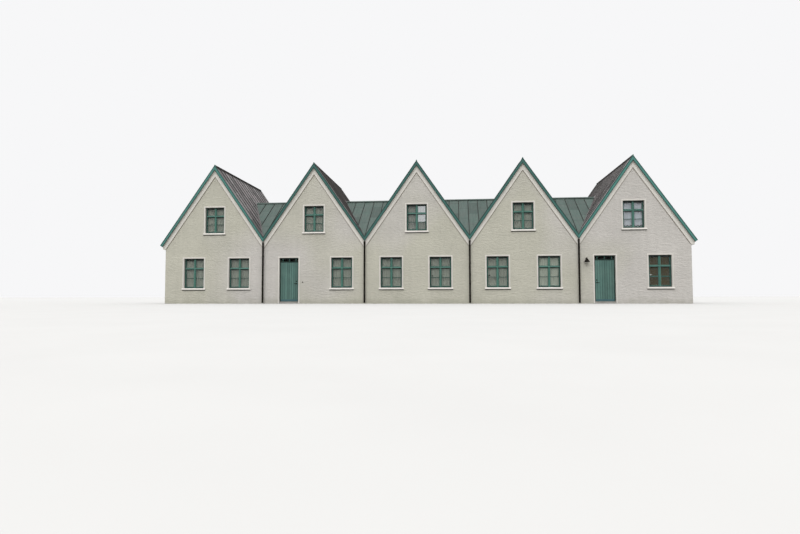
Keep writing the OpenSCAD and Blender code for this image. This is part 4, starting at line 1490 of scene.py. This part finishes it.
@dataclass
class Joinery:
    """Window frames with casements, mullion, transom, thin bars and panes."""

    palette: Palette
    windows: list[Window]
    frame_w: float = 0.08
    rail_h: float = 0.09
    mullion_w: float = 0.12
    transom_h: float = 0.12
    transom_at: float = 0.345
    bar_at: float = 0.665
    rim: float = 0.036
    half: float = 0.026
    rebate: float = 0.004
    gap: float = 0.0015
    back: float = 0.168
    fixed_foot: float = 0.04
    fixed_top: float = 0.08
    catch_at: float = 0.61

    def build(self) -> None:
        """Make the frames, the panes, the hinges and the catches."""
        wood, glass, hooks = MeshParts(), MeshParts(), MeshParts()
        for i, w in enumerate(self.windows):
            self.one(wood, glass, hooks, w, i)
        for door in (DOOR_2, DOOR_5):
            self.door_light(glass, door.mid)
        wood.build("window_joinery", [self.palette.frames], Slot.FRAME,
                   replaces=("window_frames",))
        panes = [self.palette.glass, self.palette.door_glass, self.palette.sky_glass]
        glass.build("window_panes", panes, Slot.GLASS, replaces=("window_glass",))
        hooks.build("window_hooks", [self.palette.dark, self.palette.bulb], Slot.DARK, weld=True)

    def one(
        self, wood: MeshParts, glass: MeshParts, hooks: MeshParts, w: Window, seed: int
    ) -> None:
        """One window: the rim, the cross, four lights with their rails, and the panes.

        Args:
            wood: Piece of the frames.
            glass: Piece of the panes.
            hooks: Piece of the hinges and catches.
            w: The window.
            seed: Seed of the draws.
        """
        rng = np.random.default_rng(seed)
        left, right, foot, top = w.left, w.right, w.foot, w.top
        rim, half, gap = self.rim, self.half, self.gap
        bar_z = foot + w.height * (1 - self.transom_at) - self.transom_h / 2
        low_z, high_z = bar_z + self.fixed_foot, bar_z + self.fixed_top
        z = foot + w.height * (1 - self.bar_at)
        thin = 0.022 if w.hang is Hang.BLIND else 0.014
        fixed = np.array([[0, 0.170], [0, 0.1005], [0.86, 0.1005], [1, 0.104], [1, 0.170]])
        inside = (left + rim, foot + rim, right - rim, top - rim)
        # Rim toned near black at the head and dark elsewhere: painted shade of the reveal and
        # lintel.
        frame_members(wood, (left, foot, right, top), inside, fixed, w.side,
                      (0.12, 0.16, 0.0, 0.16))
        sash = np.array([[0, 0.162], [0, 0.113], [0.07, 0.109], [0.66, 0.109], [0.72, 0.112],
                         [1, 0.129], [1, 0.162]])
        for way in (-1, 1):
            edge, b = (right if way > 0 else left), rng.uniform(-0.06, 0.06)
            xo = sorted((w.mid + way * (half + gap), edge - way * (rim + gap)))
            xi = sorted((w.mid + way * self.mullion_w / 2, edge - way * self.frame_w))
            low = (xi[0], foot + self.rail_h, xi[1], bar_z)
            high = (xi[0], bar_z + self.transom_h, xi[1], top - self.rail_h)
            # Outer stiles, foot rails and the rails under the transom and head toned darker as
            # painted shade, and the bottom rails' inner bevels lighter as painted highlight; b
            # varies each casement at random.
            stiles = (0.5 + b, 0.8 + b) if way > 0 else (0.8 + b, 0.5 + b)
            frame_members(wood, (xo[0], foot + rim + gap, xo[1], low_z - gap), low, sash,
                          w.side, (0.3 + b, stiles[0], 0.02, stiles[1]), (0.6, -0.1, 0, -0.1))
            frame_members(wood, (xo[0], high_z + gap, xo[1], top - rim - gap), high, sash,
                          w.side, (0.6 + b, stiles[0], 0.03, stiles[1]), (0.9, -0.1, 0, -0.1))
            wood.bars((xi[0] - 0.003, 0.119, z - thin), (xi[1] + 0.003, 0.156, z + thin), 0.004,
                      0.65 if w.hang is Hang.BLIND else 0.4, side=w.side)
            for a, c in ((low[1], z - thin), (z + thin, low[3]), (high[1], high[3])):
                tilt = rng.uniform(-0.0012, 0.0012, 2)
                mirrored = w.hang is Hang.WHITE and way > 0 and a > low[1]
                r = self.rebate
                self.pane(glass, (xi[0] - r, a - r, xi[1] + r, c + r), tilt, w.side,
                          finish=2 if mirrored else 0)
            self.hinges(hooks, w, xo[1] if way > 0 else xo[0], foot + rim, low_z)
        for a, c in ((foot + rim - 0.002, low_z + 0.001), (high_z - 0.001, top - rim + 0.002)):
            wood.bars((w.mid - half, 0.094, a), (w.mid + half, self.back, c), 0.005, 0.85,
                      side=w.side)
        # Transom toned bright: painted light on its top.
        self.transom(wood, left + rim - 0.002, right - rim + 0.002, low_z, w.side, 1.1)
        if w.catch is not Catch.NONE:
            self.catch(hooks, w, top - self.catch_at * w.height)

    @staticmethod
    def transom(wood: MeshParts, x0: float, x1: float, z: float, side: Side, tone: float) -> None:
        """Fixed transom with a sloped top and a drip nose, drawn along the wall.

        Args:
            wood: Piece of the frames.
            x0: Left end.
            x1: Right end.
            z: Underside.
            side: Side of the house.
            tone: Tone of the paint.
        """
        section = np.array([[0.168, 0.0], [0.168, 0.040], [0.108, 0.040], [0.080, 0.026],
                            [0.077, 0.021], [0.077, 0.004], [0.080, 0.0], [0.090, 0.0],
                            [0.092, 0.004], [0.096, 0.0]])
        x = np.array([x0, x1])[:, None] + 0 * section[None, :, 0]
        points = np.stack([x, section[None, :, 0] + 0 * x, z + section[None, :, 1] + 0 * x], -1)
        wood.sweep(side.place(points), tone)

    @staticmethod
    def pane(glass: MeshParts, edges: Four, tilt: Array, side: Side, depth: float = 0.136,
             finish: int = 0) -> None:
        """Pane 4 mm thick, leaning by a millimetre or so, as old glass does in its putty.

        Args:
            glass: Piece of the panes.
            edges: Left, foot, right and top.
            tilt: Lean to the side and upwards.
            side: Side of the house.
            depth: Middle of the pane behind the wall face.
            finish: Place of the material.
        """
        x0, z0, x1, z1 = edges
        x, y, z = np.meshgrid([x0, x1], [depth - 0.002, depth + 0.002], [z0, z1], indexing="ij")
        y = y + tilt[0] * np.sign(x - (x0 + x1) / 2) + tilt[1] * np.sign(z - (z0 + z1) / 2)
        points = np.stack([x, y, z], -1).reshape(-1, 3)
        faces = np.array([[0, 1, 3, 2], [4, 6, 7, 5], [0, 4, 5, 1], [2, 3, 7, 6], [0, 2, 6, 4],
                          [1, 5, 7, 3]])
        glass.add(side.place(points), [faces], finish=finish)

    @staticmethod
    def hinges(hooks: MeshParts, w: Window, x: float, low: float, high: float) -> None:
        """Two hinge knuckles on the outer stile of a casement.

        Args:
            hooks: Piece of the hinges and catches.
            w: The window.
            x: Outer edge of the casement.
            low: Foot of the casement.
            high: Top of the casement.
        """
        body = np.array([[0.0, -0.035], [0.0055, -0.033], [0.0055, 0.033], [0.0, 0.035]])
        for z in (low + 0.16, high - 0.16):
            hooks.lathe(body, (x, 0.104, z), turns=10, side=w.side)

    @staticmethod
    def catch(hooks: MeshParts, w: Window, z: float) -> None:
        """Catch behind the left casement's stile: a plate, an arm and a round knob.

        Args:
            hooks: Piece of the hinges and catches.
            w: The window.
            z: Height of the catch.
        """
        x, finish = w.left + 0.066, 1 if w.catch is Catch.PALE else 0
        hooks.bars((x - 0.011, 0.1615, z - 0.04), (x + 0.011, 0.167, z + 0.04), 0.0015,
                   finish=finish, side=w.side)
        path = np.array([[x, 0.165, z], [x, 0.174, z], [x + 0.03, 0.177, z], [x + 0.068, 0.177, z]])
        hooks.tube(path, 0.0065, 12, finish=finish, side=w.side)
        knob = np.array([[0.0, 0.006], [0.023, 0.006], [0.03, 0.002], [0.03, -0.003],
                         [0.023, -0.006], [0.0, -0.006]])
        hooks.lathe(knob, (x + 0.078, 0.177, z), "y", 20, finish=finish, side=w.side)

    @staticmethod
    def door_light(glass: MeshParts, mid: float) -> None:
        """Four small panes over a door, between the bars of its frame.

        Args:
            glass: Piece of the panes.
            mid: Middle of the door.
        """
        for i in range(4):
            a = max(-HOUSE.light_half, (i - 2) * HOUSE.light_step + HOUSE.light_bar)
            b = min(HOUSE.light_half, (i - 1) * HOUSE.light_step - HOUSE.light_bar)
            Joinery.pane(glass, (mid + a - 0.004, 2.141, mid + b + 0.004, 2.289),
                         np.array([0.0004, 0.0003 * i]), Side.FRONT, 0.146, 1)


@dataclass
class Trim:
    """Smooth surrounds with rounded edges and reveals, and sills with a drip groove."""

    palette: Palette
    windows: list[Window]
    width: float = 0.065
    horn: float = 0.09

    def surround(self, parts: MeshParts, side: Side, mid: float, foot: float, w: float,
                 h: float) -> None:
        """Band up one side of an opening, over its head and down the other side.

        A point of the section at the share t lies that share of the band's width out from the
        opening's edge; the ring ends in a thin lining of the reveal.

        Args:
            parts: Piece that the band goes to.
            side: Side of the house.
            mid: Middle of the opening.
            foot: Foot of the opening.
            w: Width of the opening.
            h: Height of the opening.
        """
        t = np.array([-0.02, -0.02, 0.02, 0.06, 0.94, 0.98, 1.0, 1.0, 0.0, 0.0])
        y = np.array([0.099, -0.009, -0.0135, -0.015, -0.015, -0.0135, -0.010, 0.0005, 0.0005,
                      0.099])
        reach = t * self.width
        x0, x1, top = mid - w / 2, mid + w / 2, foot + h
        flat = np.stack([
            np.stack([x0 - reach, np.full(10, foot)], -1),
            np.stack([x0 - reach, top + reach], -1),
            np.stack([x1 + reach, top + reach], -1),
            np.stack([x1 + reach, np.full(10, foot)], -1)])
        depth = np.broadcast_to(y[None], flat.shape[:2])
        parts.sweep(side.place(np.stack([flat[..., 0], depth, flat[..., 1]], -1)))

    def sill(self, parts: MeshParts, w: Window) -> None:
        """Sill with a sloped top and a drip groove along the wall, and a strip of painted shadow
        under it.

        Args:
            parts: Piece that the sill goes to.
            w: The window.
        """
        section = np.array([
            [0.0, -0.08], [0.0, 0.0], [-0.048, -0.008], [-0.056, -0.011], [-0.0595, -0.017],
            [-0.06, -0.026], [-0.06, -0.075], [-0.057, -0.0785], [-0.052, -0.08], [-0.043, -0.08],
            [-0.040, -0.074], [-0.034, -0.074], [-0.031, -0.08]])
        reach = w.width / 2 + self.horn
        x = np.array([w.mid - reach, w.mid - reach + 0.004, w.mid + reach - 0.004, w.mid + reach])
        shrink = np.array([0.93, 1.0, 1.0, 0.93])
        y = section[None, :, 0] * shrink[:, None]
        z = w.foot - 0.04 + (section[None, :, 1] + 0.04) * (0.5 + shrink[:, None] / 2)
        points = np.stack([np.broadcast_to(x[:, None], y.shape), y, z], -1)
        parts.sweep(w.side.place(points))
        parts.bars((w.left + 0.0018, -0.002, w.foot - 0.002),
                   (w.right - 0.0018, 0.0995, w.foot + 0.004), 0.001, side=w.side)
        # Near-black strip on the wall under the sill: painted shadow of the sill.
        parts.bars((w.mid - reach + 0.004, -0.0045, w.foot - 0.119),
                   (w.mid + reach - 0.004, 0.0, w.foot - 0.079), 0.002, finish=1, side=w.side)

    def build(self) -> None:
        """Make the surrounds of all windows and doors, and the sills."""
        bands, sills = MeshParts(), MeshParts()
        for w in self.windows:
            self.surround(bands, w.side, w.mid, w.foot, w.width, w.height)
            self.sill(sills, w)
        for door in (DOOR_2, DOOR_5):
            self.surround(bands, Side.FRONT, door.mid, 0.02, 1.0, HOUSE.head_z - 0.02)
        bands.build("surrounds", [self.palette.surrounds], Slot.PLASTER,
                    replaces=("window_surrounds",), smooth=50)
        sills.build("sills", [self.palette.sills, self.palette.sill_shadow], Slot.PLASTER,
                    replaces=("window_sills",))


@dataclass
class Curtains:
    """Thin curtains hung on a rod inside each window."""

    palette: Palette
    windows: list[Window]
    depth: float = 0.205
    fold: float = 0.088
    rod_drop: float = 0.028
    rod_r: float = 0.0055

    def rods(self) -> bpy.types.Object:
        """A rod across the top of each opening, with a bracket at each end.

        Returns:
            The finished piece.
        """
        parts = MeshParts()
        for w in self.windows:
            z = w.top - self.rod_drop
            x = w.mid + np.linspace(-1, 1, 4) * (w.width / 2 - 0.001)
            path = np.stack([x, np.full(4, self.depth), np.full(4, z)], -1)
            parts.tube(path, self.rod_r, 10, side=w.side)
            for way in (-1, 1):
                end = w.mid + way * (w.width / 2 - 0.006)
                parts.bars((end - 0.005, self.depth - 0.012, z - 0.012),
                           (end + 0.005, self.depth + 0.012, z + 0.026), 0.002, side=w.side)
        return parts.build("curtain_rods", [self.palette.dark], Slot.DARK)

    def cloth(self, w: Window, seed: int, rods: bpy.types.Object, first: bool) -> None:
        """One curtain: pleats that deepen from the rod down, with uneven spacing.

        At the share u across and v down, the cloth stands in and out by the pleat depth times
        the sine of its phase, and the phase runs on with u and wanders a little.

        Args:
            w: The window.
            seed: Seed of the draws.
            rods: Rods that the cloth hangs on; not used.
            first: Whether this curtain stands for the node.
        """
        flat = w.hang in (Hang.BLIND, Hang.LILAC)
        cols, rows = (49 if flat else 113), 13
        width, top = w.width - 0.05, w.top - 0.024
        drop = w.height - 0.06
        u, v = np.meshgrid(np.linspace(0, 1, cols), np.linspace(0, 1, rows), indexing="ij")
        folds = width / self.fold
        phase = 2 * math.pi * folds * u + 1.1 * ripple(5 * u, 0.8 * v, seed) + seed
        depth = 0.0015 if flat else 0.004 + 0.003 * v
        y = self.depth + depth * np.sin(phase) + 0.002 * ripple(9 * u, 4 * v, seed + 50)
        y = np.where(v < 0.02, self.depth + (y - self.depth) * 0.6 + 0.007, y)
        x = w.mid + width * (u - 0.5)
        z = top - drop * v + 0.004 * v * ripple(4 * u, 0 * v, seed + 9)
        points = np.stack([x, y, z], -1)
        across = np.linalg.norm(np.diff(points, axis=0), axis=2)
        down = np.linalg.norm(np.diff(points, axis=1), axis=2)
        way_u = np.concatenate([np.zeros((1, rows)), np.cumsum(across, 0)], 0)
        way_v = np.concatenate([np.zeros((cols, 1)), np.cumsum(down, 1)], 1)
        parts = MeshParts()
        # Cloth toned darker near the top: painted shade of the window head.
        tone = w.cloth - (0.12 if flat else 0.3) * np.clip(1 - v / 0.15, 0, 1)
        way = np.stack([way_u, way_v], -1)
        parts.add(w.side.place(points), [grid_faces(cols, rows)], tone, way)
        finish = {Hang.BLIND: self.palette.blind, Hang.LILAC: self.palette.lilac,
                  Hang.WHITE: self.palette.white_net}.get(w.hang, self.palette.net)
        piece = parts.build(f"curtain_{w.name}", [finish], Slot.CURTAIN, closed=False, smooth=80,
                            replaces=("curtains",) if first else ())

    def build(self) -> None:
        """Hang every curtain."""
        rods = self.rods()
        for i, w in enumerate(self.windows):
            self.cloth(w, i, rods, i == 0)


# --- doors


@dataclass(frozen=True)
class Door:
    """A boarded door: its number, middle, the side of its hinges, and its body."""

    number: int
    mid: float
    hinge: int
    body: Body


DOOR_2 = Door(2, HOUSE.valley_x(1) + 1.34, -1, Body.LEAF_2)
DOOR_5 = Door(5, HOUSE.valley_x(4) + 1.23, 1, Body.LEAF_5)


@dataclass
class Leaves:
    """Door leaves of upright boards on a framed back, with hinges, kick plate and levers."""

    palette: Palette
    half: float = 0.449
    foot: float = 0.106
    top: float = 2.094
    boards: int = 8
    front: float = 0.1
    board_back: float = 0.123
    back: float = 0.145
    rail: float = 0.11
    joint: float = 0.0003
    lever_z: float = 1.02
    lock_z: float = 1.135
    pin_y: float = 0.09
    knuckle_half: float = 0.0155
    flap_front: float = 0.0962
    flap_back: float = 0.1002

    @property
    def hinge_heights(self) -> Triple:
        """Heights of the three hinges of a leaf."""
        return self.foot + 0.22, (self.foot + self.top) / 2, self.top - 0.22

    def hinge_x(self, door: Door) -> float:
        """Place of a door's hinge line along the wall."""
        return door.mid + door.hinge * (self.half + 0.003)

    def leaf(self, door: Door) -> None:
        """Boards in front, rails and stiles behind, a plate at the foot and hinge knuckles.

        Args:
            door: The door.
        """
        parts = MeshParts()
        rng = np.random.default_rng(door.number)
        n = self.boards
        edges = np.linspace(door.mid - self.half, door.mid + self.half, n + 1)
        low = np.stack(np.broadcast_arrays(edges[:-1] + self.joint, self.front, self.foot), -1)
        high = np.stack(np.broadcast_arrays(edges[1:] - self.joint, self.board_back, self.top), -1)
        tone = np.repeat(0.74 + rng.uniform(-0.16, 0.16, n), BAR_POINTS).reshape(n, 8, 3)
        # Board side faces toned near black: painted shade in the grooves between boards.
        tone[..., 0] -= 0.75
        parts.bars(low, high, 0.0098, tone)
        a, b = door.mid - self.half + 0.001, door.mid + self.half - 0.001
        inner = self.rail + 0.0005
        back = [((a, self.foot), (a + self.rail, self.top)),
                ((b - self.rail, self.foot), (b, self.top))]
        for z0, z1 in ((self.foot, self.foot + 0.2), (0.98, 1.12), (self.top - 0.12, self.top)):
            back.append(((a + inner, z0), (b - inner, z1)))
        for (x0, z0), (x1, z1) in back:
            parts.bars((x0, self.board_back + 0.0001, z0), (x1, self.back, z1), 0.003, 0.7)
        parts.bars((a + 0.012, 0.0978, self.foot + 0.004), (b - 0.012, self.front, 0.214), 0.0008,
                   0.5, finish=1)
        dome = np.array([[0.0, 0.0032], [0.003, 0.0026], [0.0048, 0.001], [0.005, 0.0]])
        for x in np.linspace(a + 0.04, b - 0.04, 6):
            for z in (0.13, 0.196):
                parts.lathe(dome, (x, 0.098, z), "y", 10, finish=1)
        self.knuckles(parts, door)
        parts.build(f"door_leaf_boards_{door.number}", [self.palette.door, self.palette.kick],
                    Slot.DOOR, door.body, (f"door_{door.number}",), smooth=30)

    def knuckles(self, parts: MeshParts, door: Door) -> None:
        """Middle knuckle of each hinge, bored for its pin, with its flap on the leaf.

        Args:
            parts: Piece of the leaf.
            door: The door.
        """
        x, h = self.hinge_x(door), self.knuckle_half
        ring = np.array([[0.0043, -h], [0.0082, -h], [0.009, -h + 0.0008], [0.009, h - 0.0008],
                         [0.0082, h], [0.0043, h]])
        for z in self.hinge_heights:
            parts.lathe(ring, (x, self.pin_y, z), turns=28, looped=True, tone=0.65)
            inner, outer = x - door.hinge * 0.0078, x - door.hinge * 0.07
            parts.bars((min(inner, outer), self.flap_front, z - h),
                       (max(inner, outer), self.flap_back, z + h), 0.0008, 0.65)

    def frame(self, door: Door) -> None:
        """Frame with the bars of the light over the door, its stops, and its hinges.

        Args:
            door: The door.
        """
        parts, mid = MeshParts(), door.mid
        wide, y0, y1 = HOUSE.light_half, self.front, 0.19
        parts.bars([(mid - 0.5, y0, 0.1), (mid + wide, y0, 0.1)],
                   [(mid - wide, y1, HOUSE.head_z), (mid + 0.5, y1, HOUSE.head_z)], 0.003)
        for z0, z1 in ((2.1, 2.145), (2.285, HOUSE.head_z)):
            parts.bars((mid - wide, y0 + 0.0005, z0), (mid + wide, y1 - 0.0005, z1), 0.003)
        x, bar = mid + HOUSE.light_step * np.array([-1, 0, 1]), HOUSE.light_bar
        parts.bars(np.stack([x - bar, np.full(3, 0.106), np.full(3, 2.1445)], -1),
                   np.stack([x + bar, np.full(3, 0.186), np.full(3, 2.2855)], -1), 0.004, 0.9,
                   finish=1)
        s0, s1, stop, head = 0.1505, 0.189, 0.012, 2.1
        parts.bars([(mid - wide, s0, 0.1), (mid + wide - stop, s0, 0.1),
                    (mid - wide, s0, head - stop)],
                   [(mid - wide + stop, s1, head), (mid + wide, s1, head),
                    (mid + wide, s1, head)], 0.002)
        pin = np.array([[0.0, -0.0485], [0.005, -0.048], [0.009, -0.0465], [0.009, -0.0168],
                        [0.0082, -0.016], [0.004, -0.016]])
        pin = np.concatenate([pin, pin[::-1] * [1, -1]])
        x = self.hinge_x(door)
        for z in self.hinge_heights:
            parts.lathe(pin, (x, self.pin_y, z), turns=28)
            for up in (-0.032, 0.032):
                ends = sorted((x + door.hinge * 0.0078, x + door.hinge * 0.03))
                parts.bars((ends[0], self.flap_front, z + up - 0.0158),
                           (ends[1], self.flap_back, z + up + 0.0158), 0.0008)
        parts.build(f"door_frame_{door.number}", [self.palette.jambs, self.palette.frames],
                    Slot.FRAME, replaces=("door_frames",), weld=True, smooth=30)

    def handle(self, door: Door) -> None:
        """Lever handles on both faces, with a stepped rose and a curved end, and a lock above.

        Args:
            door: The door.
        """
        parts = MeshParts()
        x = door.mid - door.hinge * (self.half - 0.07)
        rose = np.array([[0.0, 0.0085], [0.012, 0.0085], [0.014, 0.0075], [0.022, 0.0075],
                         [0.0255, 0.005], [0.026, 0.0], [0.0, 0.0]])
        t = np.linspace(0, 1, 25)
        bend = np.clip((t - 0.28) / 0.14, 0, 1)
        for face in (-1, 1):
            level = self.front if face < 0 else self.back
            turned = rose * np.array([1, -face])
            parts.lathe(turned, (x, level, self.lever_z), "y", 32)
            out = 0.045 * np.clip(t / 0.3, 0, 1) - 0.006 * np.clip((t - 0.5) / 0.5, 0, 1) ** 2
            along = 0.128 * np.clip((t - 0.26) / 0.74, 0, 1) ** 1.15
            rise = 0.004 * bend - 0.006 * np.clip((t - 0.6) / 0.4, 0, 1) ** 2
            path = np.stack([x + door.hinge * along, level + face * (out + 0.002),
                             self.lever_z + rise], -1)
            radius = 0.013 - 0.0025 * np.clip((t - 0.5) / 0.5, 0, 1)
            parts.tube(path, radius, 16)
            lock = np.array([[0.0, 0.012], [0.014, 0.012], [0.0155, 0.0105], [0.0165, 0.007],
                             [0.0275, 0.006], [0.0295, 0.004], [0.03, 0.0], [0.0, 0.0]])
            parts.lathe(lock * np.array([1, -face]), (x, level, self.lock_z), "y", 28)
        parts.build(f"door_lever_{door.number}", [self.palette.dark], Slot.DARK, door.body,
                    (f"door_{door.number}_handle",), weld=True)

    def bell(self) -> None:
        """Small round bell push beside the left door."""
        parts = MeshParts()
        body = np.array([[0.0, 0.016], [0.010, 0.016], [0.012, 0.013], [0.013, 0.011],
                         [0.024, 0.011], [0.029, 0.006], [0.031, -0.002], [0.0, -0.002]])
        parts.lathe(body, (-5.814, 0.0, 1.084), "y", 28)
        parts.build("bell_push", [self.palette.dark], Slot.DARK, weld=True)

    def build(self) -> None:
        """Make both leaves with their frames and handles, and the bell push."""
        for door in (DOOR_2, DOOR_5):
            self.frame(door)
            self.leaf(door)
            self.handle(door)
        self.bell()


# --- pipes and lamp


@dataclass
class Drains:
    """Round downpipes in the valleys, with sockets, clips and a drip edge."""

    palette: Palette
    radius: float = 0.045
    reach: float = 0.085
    foot: float = 0.04
    swell: float = 0.004
    wall: float = 0.003
    sockets: tuple[float, ...] = (0.95, 1.95)
    clips: tuple[float, ...] = (0.4, 1.45, 2.4)

    def build(self) -> None:
        """Turn each pipe's outline round its axis and add its clips."""
        top = HOUSE.valley_z - HOUSE.roof_v
        r, bore, wide = self.radius, self.radius - self.wall, self.radius + self.swell
        outline = [[bore, self.foot + 0.02], [bore, self.foot], [r, self.foot]]
        for z in self.sockets:
            outline += [[r, z], [wide, z + 0.004], [wide, z + 0.06], [r, z + 0.064]]
        outline += [[r, top - 0.1], [wide, top - 0.095], [wide, top - 0.002], [r, top]]
        outline += [[bore, top], [bore, top - 0.05]]
        outline = np.array([[0.0, self.foot + 0.02], *outline, [0.0, top - 0.05]])
        clip = np.array([[r, -0.019], [r + 0.0055, -0.019], [r + 0.006, -0.017], [r + 0.006, 0.017],
                         [r + 0.0055, 0.019], [r, 0.019]])
        for side in (Side.FRONT, Side.BACK):
            parts = MeshParts()
            for k in range(1, HOUSE.gables):
                x = HOUSE.valley_x(k)
                parts.lathe(outline, (x, -self.reach, 0), turns=28, side=side)
                for z in self.clips:
                    parts.lathe(clip, (x, -self.reach, z), turns=28, looped=True, side=side)
                    parts.bars((x - 0.011, -self.reach + r - 0.004, z - 0.011),
                               (x + 0.011, 0.001, z + 0.011), 0.002, side=side)
                    parts.bars((x - 0.025, -0.006, z - 0.02), (x + 0.025, 0.0005, z + 0.02), 0.001,
                               side=side)
            parts.build(f"valley_pipes_{side.name.lower()}", [self.palette.dark], Slot.DARK,
                        replaces=("valley_downpipes",), weld=True)


@dataclass
class Lamp:
    """Conical lamp on a short arm, with a bulb inside its shade."""

    palette: Palette
    x: float = HOUSE.valley_x(4) + 0.352
    rim_z: float = 2.0
    reach: float = 0.15
    arm_up: float = 0.176
    rim_r: float = 0.14
    draw_in: float = 0.119
    shade_h: float = 0.2
    shade_t: float = 0.003

    def build(self) -> None:
        """Turn the shade and the bulb, and draw the arm out of its rose."""
        parts = MeshParts()
        centre = (self.x, -self.reach, self.rim_z)
        t = np.linspace(0, 1, 14)
        outer = np.stack([self.rim_r - self.draw_in * t, self.shade_h * t], -1)
        inside = self.shade_h - self.shade_t
        cap = np.array([[0.021, 0.212], [0.019, 0.228], [0.011, 0.2345], [0.0, 0.235]])
        back = t[::-1]
        inner = np.stack([self.rim_r - self.shade_t - self.draw_in * back, inside * back], -1)
        rim = np.array([[0.1375, 0.0005], [0.1385, -0.0002], [0.140, 0.0]])
        parts.lathe(np.concatenate([outer, cap]), centre, turns=64)
        shade = np.concatenate([[[0.0, inside]], inner, rim])
        parts.lathe(shade, centre, turns=64)
        s = np.linspace(0, 1, 16)
        y, z = -0.004 - (self.reach - 0.03) * s, np.full(16, self.rim_z + self.arm_up)
        path = np.stack([np.full(16, self.x), y, z], -1)
        parts.tube(path, 0.012, 18)
        rose = np.array([[0.0, 0.012], [0.026, 0.012], [0.036, 0.009], [0.0395, 0.004],
                         [0.04, -0.001], [0.0, -0.001]])
        parts.lathe(rose, (self.x, 0, self.rim_z + self.arm_up), "y", 36)
        holder = np.array(
            [[0.0, 0.196], [0.017, 0.19], [0.017, 0.13], [0.014, 0.126], [0.0, 0.126]])
        parts.lathe(holder, centre, turns=28)
        a = np.linspace(-math.pi / 2, 0.32 * math.pi, 14)
        glass = np.stack([0.026 * np.cos(a), 0.1 + 0.026 * np.sin(a)], -1)
        parts.lathe(np.concatenate([glass, [[0.0125, 0.13], [0.0, 0.131]]]), centre, turns=28,
                    finish=1)
        parts.build("lamp", [self.palette.dark, self.palette.bulb], Slot.DARK,
                    replaces=("wall_lamp",), weld=True)


# --- stage


@dataclass
class Stage:
    """Pale floor, plain sky, soft sun and the camera at the photograph's angle."""

    sky: float = 0.93
    floor: Colour = (0.52, 0.52, 0.515)
    bounce: Colour = (0.2, 0.2, 0.185)
    overcast: tuple[float, float] = (1.1, 1.7)
    sun_angle: float = math.radians(50)
    sun_turn: Triple = (math.radians(38), 0.0, math.radians(-14))
    lens: float = 25.425
    eye: Triple = (1.911, -31.476, 0.343)
    look: Triple = (math.radians(93.009), math.radians(0.078), math.radians(5.603))

    def ground(self) -> None:
        """Round pale floor that reaches the horizon."""
        t = np.linspace(0, 2 * math.pi, 97)[:-1]
        radius = np.array([0.0, 30.0, 120.0, 900.0])
        points = np.stack([radius[:, None] * np.cos(t), radius[:, None] * np.sin(t),
                           0 * radius[:, None] + 0 * t], -1)
        mesh = bpy.data.meshes.new("floor")
        mesh.from_pydata(points.reshape(-1, 3), [], grid_faces(4, 96, wrap_cols=True).tolist())
        mesh.materials.append(self.floor_finish())
        put("floor", mesh)

    def floor_finish(self) -> Material:
        """Pale to the camera, and dull to the light that it sends back up on the house.

        Returns:
            The material.
        """
        g = Graph("pale_floor")
        p = g.place()
        colour = g.vary(self.floor, g.noise(p, 0.8, 3), 0.985, 1.015)
        pale = g.node("BsdfPrincipled", Base_Color=colour, Roughness=0.95)
        dull = g.node("BsdfDiffuse", Color=self.bounce)
        return g.finish(g.node("MixShader", i0=g.seen(), i1=dull.outputs[0], i2=pale.outputs[0]))

    def world(self) -> None:
        """Overcast light, brighter overhead, that the camera and glass see as plain pale sky."""
        g = Graph("overcast", world=True)
        bpy.context.scene.world = g.holder
        up = g.axes(g.node("TexCoord").outputs["Generated"])[2]
        strength = g.span(up, 0.0, 1.0, *self.overcast)
        light = g.node("Background", Color=(1.0, 0.995, 0.99, 1), Strength=strength)
        plain = g.node("Background", Color=(self.sky, self.sky, self.sky * 1.01, 1))
        g.finish(g.node("MixShader", i0=g.seen(), i1=light.outputs[0], i2=plain.outputs[0]))

    def sun(self) -> None:
        """Wide soft sun, high in front of the house and a little to the left."""
        lamp = bpy.data.lights.new("soft_sun", "SUN")
        lamp.energy, lamp.angle = 1.0, self.sun_angle
        lamp.color = (1.0, 0.985, 0.96)
        put("soft_sun", lamp).rotation_euler = self.sun_turn

    def camera(self) -> None:
        """Camera low in front of the house, turned to the left and slightly up."""
        data = bpy.data.cameras.new("camera")
        data.sensor_fit, data.sensor_width, data.lens = "HORIZONTAL", 36.0, self.lens
        data.clip_end = 2000
        holder = put("camera", data)
        holder.location, holder.rotation_euler = self.eye, self.look
        bpy.context.scene.camera = holder

    def build(self) -> None:
        """Set the stage."""
        self.ground()
        self.world()
        self.sun()
        self.camera()
        bpy.context.scene.view_settings.view_transform = "Standard"


def main() -> None:
    """Build the looks of the house in order."""
    logging.basicConfig(level=logging.INFO, format="%(name)s: %(message)s")
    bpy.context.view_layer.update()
    Stage().build()
    palette = Palette()
    names = list(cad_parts)
    dress([n for n in names if "wall_" in n and n != "wall_lamp"], palette.walls)
    dress([n for n in names if "timber" in n or n == "loft_floor"], palette.timber)
    dress(["verge_bands", "eaves_cornices"], palette.bands)
    dress(["thresholds", "ground_floor"], palette.concrete)
    dress(["end_gutters", "end_downpipes"], palette.dark)
    windows = all_windows()
    RoofSheets(palette).build()
    Verges(palette).build()
    RidgeCaps(palette).build()
    Joinery(palette, windows).build()
    Trim(palette, windows).build()
    Curtains(palette, windows).build()
    Leaves(palette).build()
    Drains(palette).build()
    Lamp(palette).build()


if __name__ == "__main__":
    main()
